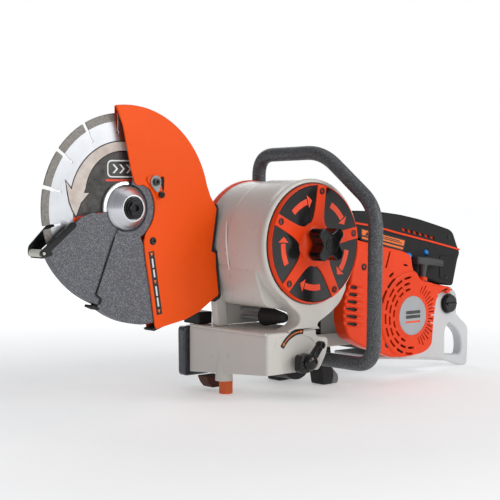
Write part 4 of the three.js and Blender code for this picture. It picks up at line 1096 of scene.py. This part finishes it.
# ---- handle, feet and chassis ----
def handle():
    points = [(340, 58, -43.6), (340, 58, 90), (340, -108, 93), (340, -235, 0), (340, -231, -262),
        (340, 36, -264)]
    tube = sweep(bend_path(points, 38, 18, 12), 12.3, 48)
    place("handle_tube", tube, "tube", "front_handle")
    saddle = [block((322, 358), ys, (-279, -250), 3) for ys in ((-66, -42), (8, 30))]
    bar = rod((340, -90, -263.8), (340, 60, -263.8), 12.35)
    saddles = cut(merge(*saddle), bar)
    place("handle_saddles", saddles, "black")
    bolts = []
    for y in (-54, 19):
        for x in (326.5, 353.5):
            bolts.append(aim(lathe([(0, 0), (4, 0), (4.4, 0.5), (4.4, 3.6), (0, 3.6)], (0, 0), 6),
                (x, y, -282), (x, y, -250)))
    place("handle_saddle_bolts", merge(*bolts), "oxide")
    ferrule = lathe([(12.4, 0), (16.6, 0), (17.4, 1), (17.4, 15), (16.4, 16.4), (12.4, 16.4)], (0, 0), 64,
        True)
    place("handle_stem_collar", aim(ferrule, (340, 58, -46), (340, 58, 90)), "rubber")


def chassis():
    deck = block((328, 462), (-70, 56), (-250.5, -245.5), 1.2)
    web = block((440, 446), (-60, 30), (-250, -150), 1.2)
    saddle = cut(block((328, 352), (-60, 30), (-262, -246), 1.2), rod((340, -100, -264), (340, 90, -264),
        13.3))
    ribs = [block((x, x + 4), (-62, 30), (-246, -236), 1.0) for x in (366, 392, 418)]
    wall = block((330, 438), (-72, -68), (-250, -226), 1.2)
    place("chassis_deck", fuse(deck, web, saddle, wall, *ribs), "white", "chassis_plate")
    bracket = cut(block((352, 378), (-66, -61), (-236, -150), 1.4), rod((365, -80, -176), (365, -50, -176),
        4.0), rod((365, -80, -186), (365, -50, -186), 4.0))
    place("muffler_bracket", bracket, "dark_cast")
    for name, x, y in (("left", 402, -48), ("right", 374, 38)):
        sole = [(x - 16, GROUND_Z), (x + 7, GROUND_Z), (x + 9, GROUND_Z + 20), (x + 5, -286),
            (x + 2, -250.8), (x - 16, -250.8), (x - 21, -292)]
        place(f"foot_{name}_boot", plate(rounded(sole, 4), y - 17, y + 17, edge=3.4, steps=4), "rubber",
            f"foot_{name}")
        toe = rounded([(x + 5, GROUND_Z + 0.3), (x + 20, GROUND_Z + 0.3), (x + 22.5, GROUND_Z + 8),
            (x + 20.5, GROUND_Z + 16.5), (x + 5, -288)], 3)
        place(f"foot_{name}_toe", plate(toe, y - 16.4, y + 16.4, edge=3, steps=4), "toe")


# ---- starter side ----
def starter_housing():
    near, far = STARTER_NEAR, -111.0
    top = [(390, -57), (515, -82), (534, -91), (536, -112), (554, -137), (575, -140), (643, -153)]
    rear = [(597, -169), (590, -205), (584, -260), (561, -268), (526, -271), (484, -271)]
    front = [(451, -259), (409, -245), (373, -227), (363, -204), (362, -178), (369, -147), (378, -134)]
    outline = rounded([*top, *rear, *front], 10, 6)
    shell = plate(outline, near, far, edge=4.2, steps=6)
    dome = lathe([(0, near + 4), (80, near + 4), (79.6, near - 0.4), (78.2, near - 1.9), (75.5, near - 2.6),
        (42, near - 3.2), (40.5, near - 4.0), (38.6, near - 4.2), (0, near - 4.2)], CRANK, 128)
    keep = plate(rounded([*top, *rear, *front], 10, 6), near - 8, far, edge=0.3)
    shell = fuse(shell, boolean(dome, [keep], "INTERSECT"))
    boss = rod((579.5, -124, -131.5), (576.6, -124, -150), 9, 10, edge=2.2)
    collar = rod((579.8, -124, -130.8), (579.2, -124, -134), 6.4, 7.0, edge=1.0)
    shell = fuse(shell, boss, collar)
    inner = [(393, -62), (514, -86), (530, -94), (532, -114), (552, -141), (574, -144), (598, -152),
        (592, -171), (585, -206), (580, -256), (560, -264), (485, -267), (453, -255), (376, -224),
        (367, -178), (382, -134)]
    tools = [plate(inner, near + 3, far + 2, edge=0.3)]
    tools.append(rod((581, -124, -120), (576, -124, -162), 4.4, edge=0.2))
    tools.append(cylinder(110.5, -160, -100, DRUM, 160))
    for k in range(6):
        z = -137.5 - 12.8 * k
        tools.append(sweep([(362, near - 2.4, z + 1.5), (390, near - 0.6, z - 3.0),
            (421, near - 3.6, z - 8.0)], [5.2, 4.8, 2.4], 20, (1, 1)))
    slots = []
    for radius, first, last in ((46, 96, 250), (56.5, 96, 262), (67, 92, 262)):
        start = first
        while start < last:
            slots.append(arc(*CRANK, radius, start, start + 15, 6) + arc(*CRANK, radius + 4.2, start + 15,
                start, 6))
            start += 20.5 if radius > 50 else 23
    slots += [arc(*CRANK, 78.5, s, s + 17, 6) + arc(*CRANK, 82.5, s + 17, s, 6) for s in (122, 143)]
    slots.append([(474, -80), (477.5, -81), (467.2, -110), (463.4, -109)])
    slots.append(rounded([(472, -124), (484, -117), (486, -121), (477, -128)], 1))
    slots.append(rounded([(511, -104), (522, -106), (522, -109.5), (511, -107.5)], 1))
    for k in range(19):
        angle = -68 + 7.2 * k
        root, tip = (polar_at(CRANK, r, angle) for r in (44.5, 63 if k % 2 else 57))
        slots.append(hull([(*root, 0.9), (*tip, 1.3)], 12))
    tools.append(plate([rounded(s, 0.7, 2) if len(s) > 6 else s for s in slots], near - 6, near + 5,
        edge=0.1, steps=0))
    shell = cut(shell, *tools)
    place("starter_cover", shell, "orange", "starter_housing", sharp=34)
    screen = plate(inner, near + 5.2, near + 6.4, [circle((577, -150), 12, 24)], edge=0.2)
    screen = cut(screen, cylinder(111, -160, -100, DRUM, 128))
    place("starter_screen", screen, "rubber")


def starter_fittings():
    near = STARTER_NEAR
    badge = lathe([(0, near - 5.4), (33.4, near - 5.4), (35.0, near - 5.0), (35.6, near - 4.1),
        (0, near - 4.1)], CRANK, 96)
    place("starter_badge", badge, "badge")
    mark = [rounded([(CRANK[0] + a, CRANK[1] + c), (CRANK[0] + b, CRANK[1] + c),
        (CRANK[0] + b, CRANK[1] + d), (CRANK[0] + a, CRANK[1] + d)], 2) for a, b, c,
        d in ((-19, 19, 3, 9), (-19, 19, -5, 1))]
    printed("badge_bars", mark, near - 5.6, "ink_dark")
    bar = rounded([(CRANK[0] - 19, CRANK[1] - 13), (CRANK[0] + 19, CRANK[1] - 13),
        (CRANK[0] + 19, CRANK[1] - 9.5), (CRANK[0] - 19, CRANK[1] - 9.5)], 1)
    printed("badge_accent", bar, near - 5.6, "ink_orange")
    spots = [((410, -105.5), 4.6), ((476, -144), 2.6), ((499, -133), 2.6), ((585, -163), 2.8),
        ((574, -250), 2.8), ((470, -246), 4.4), ((506, -259), 3.0)]
    parts = []
    for centre, radius in spots:
        parts.append(screw(centre, near - 1.0, radius, 2.4))
        parts.append(soft_ring(radius + 0.1, radius + 1.6, near - 0.5, near + 0.3, centre, 0.2, 32))
    place("starter_cover_screws", merge(*parts), "oxide")


def pull_grip():
    outline = rounded([(558, -93), (596, -96.5), (629.5, -102), (629, -115), (600, -111.5), (583, -110.5),
        (558, -107)], 4, 5)
    bar = plate(outline, -133, -115, edge=4.4, steps=6)
    stem_path = [Vector((581.5, -124, -104)).lerp(Vector((578.2, -124, -137.4)), k / 8) for k in range(9)]
    stem = sweep(stem_path, [9.4, 8.2, 7.3, 6.8, 6.5, 6.3, 6.2, 6.6, 7.0], 32)
    place("pull_grip", fuse(bar, stem), "grip_black", "starter_grip",
        body="starter_pull_grip", sharp=34)
    low, high = Vector((576.2, -124, -154)), Vector((578.6, -124, -134))
    rings = [low.lerp(high, k / 70) for k in range(71)]
    rope = sweep(rings, 2.1, 14)
    obj = place("starter_rope", rope, "nylon", weighted=False)
    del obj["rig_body"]
    obj.parent = None
    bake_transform(obj)


# ---- top cover and controls ----
STRIPE = [(405, -28.4), (416.7, -29.8), (455.8, -35.0), (494.4, -43.0), (531.3, -51.1), (572, -59.3),
    (613.1, -67.6), (660, -77.6), (697, -85.8)]


def top_cover():
    near, far = COVER_NEAR, 22.0
    crown = [(403, -8), (448, -9), (493, -12), (536, -17), (587, -26), (633, -37), (672, -47), (681, -53)]
    tail = [(694, -80), (701.5, -92), (695, -104), (681, -155)]
    under = [(650, -150), (609, -141), (560, -128), (546, -88), (515, -78), (398, -54)]
    outline = rounded([*crown, *tail, *under], 7, 6)
    shell = plate(outline, near, far, edge=6.0, steps=7)
    inside = [(406, -12), (493, -16), (586, -30), (674, -52), (689, -80), (690, -104), (677, -150),
        (677, -175), (540, -175), (540, -100), (401, -80)]
    slots = []
    for i in range(6):
        x, z = 536 + i * 15.4, -40.5 - i * 3.3
        slots.append(rounded([(x, z), (x + 11.5, z - 2.6), (x + 13, z - 8.2), (x + 2, z - 5.8)], 1, 2))
    below = [(x, z - 2.4) for x, z in STRIPE]
    groove = [*below, *[(x, z - 5.2) for x, z in STRIPE[::-1]]]
    shell = cut(shell, plate(inside, near + 3, far - 3, edge=0.3), plate(slots, near - 2, near + 5, edge=0.1,
        steps=0), plate(circle(PRIMER, 7.0, 40), near - 1, near + 5, edge=0.1),
        plate(groove, near - 1, near + 0.9, edge=0.1, steps=0))
    ridge = plate(rounded([(640, -94), (688, -99), (676, -146), (640, -138)], 6), near - 1.2, near + 2,
        edge=1.1)
    place("engine_cover", fuse(shell, ridge), "black", "top_cover", sharp=34)
    band = [*[(x, z + 1.7) for x, z in STRIPE], *[(x, z - 1.9) for x, z in STRIPE[::-1]]]
    place("engine_cover_stripe", plate(band, near - 0.9, near + 1, edge=0.5), "orange")
    mesh_sheet = plate(rounded([(530, -36), (630, -56), (628, -70), (528, -50)], 3), near + 3.4, near + 5,
        edge=0.2)
    place("intake_baffle", mesh_sheet, "orange")
    base = rounded([(430, -39), (547, -62.5), (541.5, -84), (430, -60)], 2)
    printed("service_label_base", base, near - 0.12, "ink_black", 0.16)
    field = rounded([(433, -41.5), (544, -64.5), (541, -74), (433, -51)], 1)
    printed("service_label_field", field, near - 0.22, "ink_amber")
    foot = rounded([(433, -54), (540, -77), (538.8, -80.5), (433, -57.5)], 0.8)
    printed("service_label_foot", foot, near - 0.22, "ink_amber")
    bars = [[(a, -41.5 - 0.2072 * (a - 433) - d), (b, -41.5 - 0.2072 * (b - 433) - d),
        (b, -43.1 - 0.2072 * (b - 433) - d), (a, -43.1 - 0.2072 * (a - 433) - d)] for a, b,
        d in ((462, 530, 2.2), (462, 536, 5.2))]
    triangle = [(440, -52), (450, -53.4), (446.5, -45.6)]
    printed("service_label_bars", [*bars, triangle], near - 0.3, "ink_black")
    knobs = [screw((658, -136), near - 2.4, 3.6, 3), screw((667, -62), near - 1.8, 3.4, 2.6),
        screw((420, -47), near - 1.6, 3.2, 2.4)]
    place("engine_cover_screws", merge(*knobs), "oxide")


def controls():
    button = lathe([(0, -130.6), (2.4, -130.2), (4.4, -128.8), (5.6, -126.4), (6.0, -123), (6.0, -119),
        (3, -118.6), (3, -70), (0, -70)], DECOMPRESSION, 48)
    place("decompression_cap", button, "blue", "decompression_button", body="decompressor")
    bulb = lathe([(0, -116.2), (2.4, -115.8), (4.2, -114.6), (5.4, -112.4), (6.0, -109.6), (6.4, -106),
        (6.4, -104), (0, -104)], PRIMER, 48)
    place("primer_dome", bulb, "blue", "primer_bulb", body="primer")
    switch = lathe([(0, -109.4), (3.4, -109.2), (4.4, -108.4), (4.9, -106.6), (5, -98), (0, -98)],
        (641, -161), 40)
    place("stop_button", switch, "gloss_black", "stop_switch", body="stop_button")
    knob = fuse(lathe([(0, -114.4), (4.6, -114.2), (6.2, -113.2), (6.8, -111.4), (7, -106), (3, -105.8),
        (3, -84), (0, -84)], (664, -161), 40), block((655.5, 672.5), (-116.2, -107.5), (-162.6, -159.4), 1.2))
    place("choke_lever", knob, "orange", "choke_knob", body="choke")
    scallops = []
    for i in range(144):
        a = 2 * math.pi * i / 144
        radius = 16.4 + 0.6 * math.cos(18 * a)
        scallops.append((CAP[0] + radius * math.cos(a), CAP[1] + radius * math.sin(a)))
    cap = fuse(plate(scallops, -110, -100.4, edge=1.8, steps=4), plate(rounded([(CAP[0] - 13, CAP[1] - 2.4),
        (CAP[0] + 13, CAP[1] - 2.4), (CAP[0] + 13, CAP[1] + 2.4), (CAP[0] - 13, CAP[1] + 2.4)], 2), -113.2,
        -108, edge=1.4, steps=4), soft_ring(0, 12, -102, -96, CAP, 0.4, 48))
    place("fuel_cap_knob", cap, "gloss_black", "fuel_cap", body="cap", sharp=34)
    place("fuel_cap_seal", soft_ring(12.5, 18.6, -100.9, -100.1, CAP, 0.3), "rubber")
    trigger = rounded([(700, -217), (710, -223), (718, -240), (713.5, -248.5), (704, -237), (695.5, -226)],
        3, 5)
    place("throttle_lever", plate(trigger, -57.5, -44.5, edge=2.0, steps=4), "gloss_black",
        "throttle_trigger", body="trigger")
    lock = rounded([(720, -191.5), (738, -204), (738.5, -195), (732, -185), (724, -179)], 2, 4)
    place("throttle_lock_lever", plate(lock, -57.5, -44.5, edge=1.4, steps=4), "gloss_black",
        "throttle_lock", body="trigger_lock")


# ---- tank and rear grip ----
def rear_body():
    shoulder = [(606, -163), (618, -156), (690, -157), (706, -172), (704, -214), (680, -226), (671, -238),
        (671, -298)]
    rail = [(629, -292), (486, -278), (486, -272.5), (588, -272.5), (600, -262)]
    tank = plate(rounded([*shoulder, *rail], 7, 6), -100, 12, edge=2.4, steps=5)
    crest = [(600, -156), (690, -166), (716, -180), (744, -208), (762, -225.5), (779, -237), (786, -247)]
    heel = [(785.5, -284), (784, GROUND_Z), (766, GROUND_Z), (742, -311), (700, -301), (629, -292),
        (600, -287)]
    fingers = [(686, -230), (719, -229), (737, -237), (750, -246), (762, -260), (765, -280), (762, -297),
        (716, -292), (686, -288)]
    grip = plate(rounded([*crest, *heel], 12, 7), -62, -40, [rounded(fingers, 8, 6)], edge=4.4, steps=6)
    body = fuse(tank, grip)
    tools = [block((686, 721), (-59, -43), (-240, -206)), block((718, 740), (-59, -43), (-211, -175)),
        cylinder(12.3, -104, -94, CAP, 48), lathe([(0, -104), (20.4, -104), (20.4, -99.2), (19.6, -98.6),
        (0, -98.6)], CAP, 96), cylinder(5.8, -104, -94, (641, -161), 32),
        cylinder(3.5, -104, -82, (664, -161), 32)]
    body = cut(body, *tools)
    place("tank_and_grip", body, "grip_white", "fuel_tank_grip", sharp=34)
    liner = block((686.5, 720.5), (-58.6, -43.4), (-239, -207), 0.5)
    well = cut(liner, block((680, 740), (-58, -44), (-238, -190)))
    place("trigger_well", well, "rubber")
    panel = rounded([(650, -159), (682, -160), (682, -166), (650, -165)], 2)
    printed("control_label", panel, -100.2, "ink_black", 0.3)
    bars = [[(a, -160.9), (a + 7, -161.2), (a + 7, -164.2), (a, -163.9)] for a in (652, 672.5)]
    printed("control_label_marks", bars, -100.4, "ink_amber", 0.3)
    seam = sweep([(604, -100.4, -285), (636, -100.6, -289.5), (668, -100.4, -294)], 0.9, 12)
    place("tank_seam", seam, "grip_white")


# ---- drive arm and engine ----
def belt_circles(offset):
    return [(*ARBOR, 44 + offset), (*CRANK, 26 + offset), (*DRUM, 18 + offset)]


def drive_side():
    inner = hull(belt_circles(9), 64)
    outer = hull(belt_circles(12), 64)
    tray = cut(plate(outer, 42, 72, edge=1.4, steps=4), plate(inner, 45, 74, edge=0.4))
    pad = soft_ring(0, 46, 11.7, 16, ARBOR, 1.2)
    boss = soft_ring(0, 31.5, 11.7, 43, ARBOR, 0.8)
    stem = cut(rod((340, 58, -44), (340, 58, -84), 13, edge=1), plate(inner, 45, 74, edge=0.2))
    ribs = [plate(hull([(x0, z0, 2.2), (x1, z1, 2.2)], 12), 36.5, 43, edge=0.8) for x0, z0, x1,
        z1 in ((60, -8, 250, -58), (60, -50, 230, -88), (320, -110, 480, -170))]
    arm = fuse(tray, pad, boss, stem, *ribs)
    bores = [(ARBOR, 27.8), (CRANK, 17), (DRUM, 10)]
    arm = cut(arm, *[cylinder(r, 10, 46, c, 64) for c, r in bores])
    place("drive_arm_casting", arm, "cast", "drive_arm", sharp=34)
    cover = plate(outer, 72.3, 77.3, edge=1.6, steps=4)
    rails = [plate(hull([(x0, z0, 2.0), (x1, z1, 2.0)], 12), 76.0, 78.6, edge=0.7) for x0, z0, x1,
        z1 in ((70, 18, 262, -46), (66, 2, 262, -60), (62, -14, 262, -74), (322, -100, 480, -160),
        (318, -114, 476, -174))]
    disc = soft_ring(0, 40, 76, 79.4, ARBOR, 1.4)
    place("belt_cover_moulding", fuse(cover, disc, *rails), "black", "belt_cover", sharp=34)
    bolts = []
    seats = [(0, 49), (-49, 0), (-20, -46), (140, 28), (120, -84), (300, -32), (265, -120), (440, -130),
        (400, -203), (560, -198), (531, -229)]
    for x, z in seats:
        bolts.append(aim(lathe([(0, 0), (4.6, 0), (5, 0.4), (5, 3.4), (4.2, 4), (2.2, 4), (2.2, 2.2),
            (0, 2.2)], (0, 0), 24), (x, 76.6, z), (x, 90, z)))
    place("belt_cover_bolts", merge(*bolts), "oxide")


def engine():
    case = rounded([(470, -262), (592, -262), (600, -205), (590, -150), (480, -150), (466, -200)], 12, 6)
    body = cut(plate(case, -84, 38, edge=4, steps=5), cylinder(12.6, -90, 42, CRANK, 48),
        cylinder(46, -76, 30, CRANK, 64))
    ribs = [plate(hull([polar3(CRANK, 24, a), polar3(CRANK, 60, a)], 12), 36, 41, edge=1.0)
        for a in range(0, 360, 45)]
    place("engine_case", merge(body, soft_ring(17, 26, 36, 41.5, CRANK, 1.0), *ribs), "dark_cast",
        "crankcase")
    profile = [(0, 58), (27, 58), (27, 63)]
    for i in range(6):
        y = 64 + i * 7.5
        profile += [(27.6, y - 0.6), (40.6, y), (41, y + 0.4), (41, y + 2.4), (40.6, y + 2.8),
            (27.6, y + 3.4)]
    profile += [(27, 106), (25.6, 108), (0, 108)]
    standing = lathe([(r, -y) for r, y in profile], (0, 0), 72)
    bmesh.ops.rotate(standing, verts=standing.verts, cent=(0, 0, 0),
        matrix=Matrix.Rotation(math.radians(-90), 3, "X"))
    bmesh.ops.translate(standing, verts=standing.verts, vec=(0, -24, 0))
    place("engine_barrel", lean(standing), "cast", "cylinder")
    box = rounded([(404, -84), (478, -96), (470, -144), (404, -150)], 9, 5)
    muffler = plate(box, -92, 10, edge=5, steps=5)
    ribs = [plate(hull([(412, z, 1.8), (466, z - 2, 1.8)], 12), -93.4, 11.4, edge=0.8)
        for z in (-104, -117, -130)]
    place("muffler_box", fuse(muffler, *ribs), "dark_cast", "muffler")
    outlet = lathe([(5.4, 8), (8.4, 8), (8.8, 8.6), (8.8, 17), (8.2, 18), (6.4, 18), (5.6, 16.6)],
        (438, -120), 40, True)
    place("muffler_outlet", outlet, "oxide")


def polar3(centre, radius, degrees):
    return (*polar_at(centre, radius, degrees), 2.0)


def keep_cad():
    """The inner parts whose CAD shape is right take their finish here."""
    finishes = {"spindle": "steel", "spindle_bearing": "steel", "spindle_pulley": "cast",
        "crank_pulley": "pulley", "drive_belt": "rubber", "dust_duct": "rubber", "suction_fan": "cast",
        "fan_pulley": "cast", "filter_cartridge": "paper", "flywheel": "cast", "crankshaft": "steel",
        "air_filter": "paper", "carburettor": "cast", "starter_pulley": "black"}
    for node, material in finishes.items():
        slots = frame["nodes"][node].data.materials
        slots.clear()
        slots.append(M[material])


camera()
studio()
floor()
blade()
blade_label()
blade_hub()
fixed_guard()
latch()
direction_strip()
swinging_guards()
roller()
drum()
filter_face()
filter_knob()
bin_body()
bin_fittings()
handle()
chassis()
starter_housing()
starter_fittings()
pull_grip()
top_cover()
controls()
rear_body()
drive_side()
engine()
keep_cad()
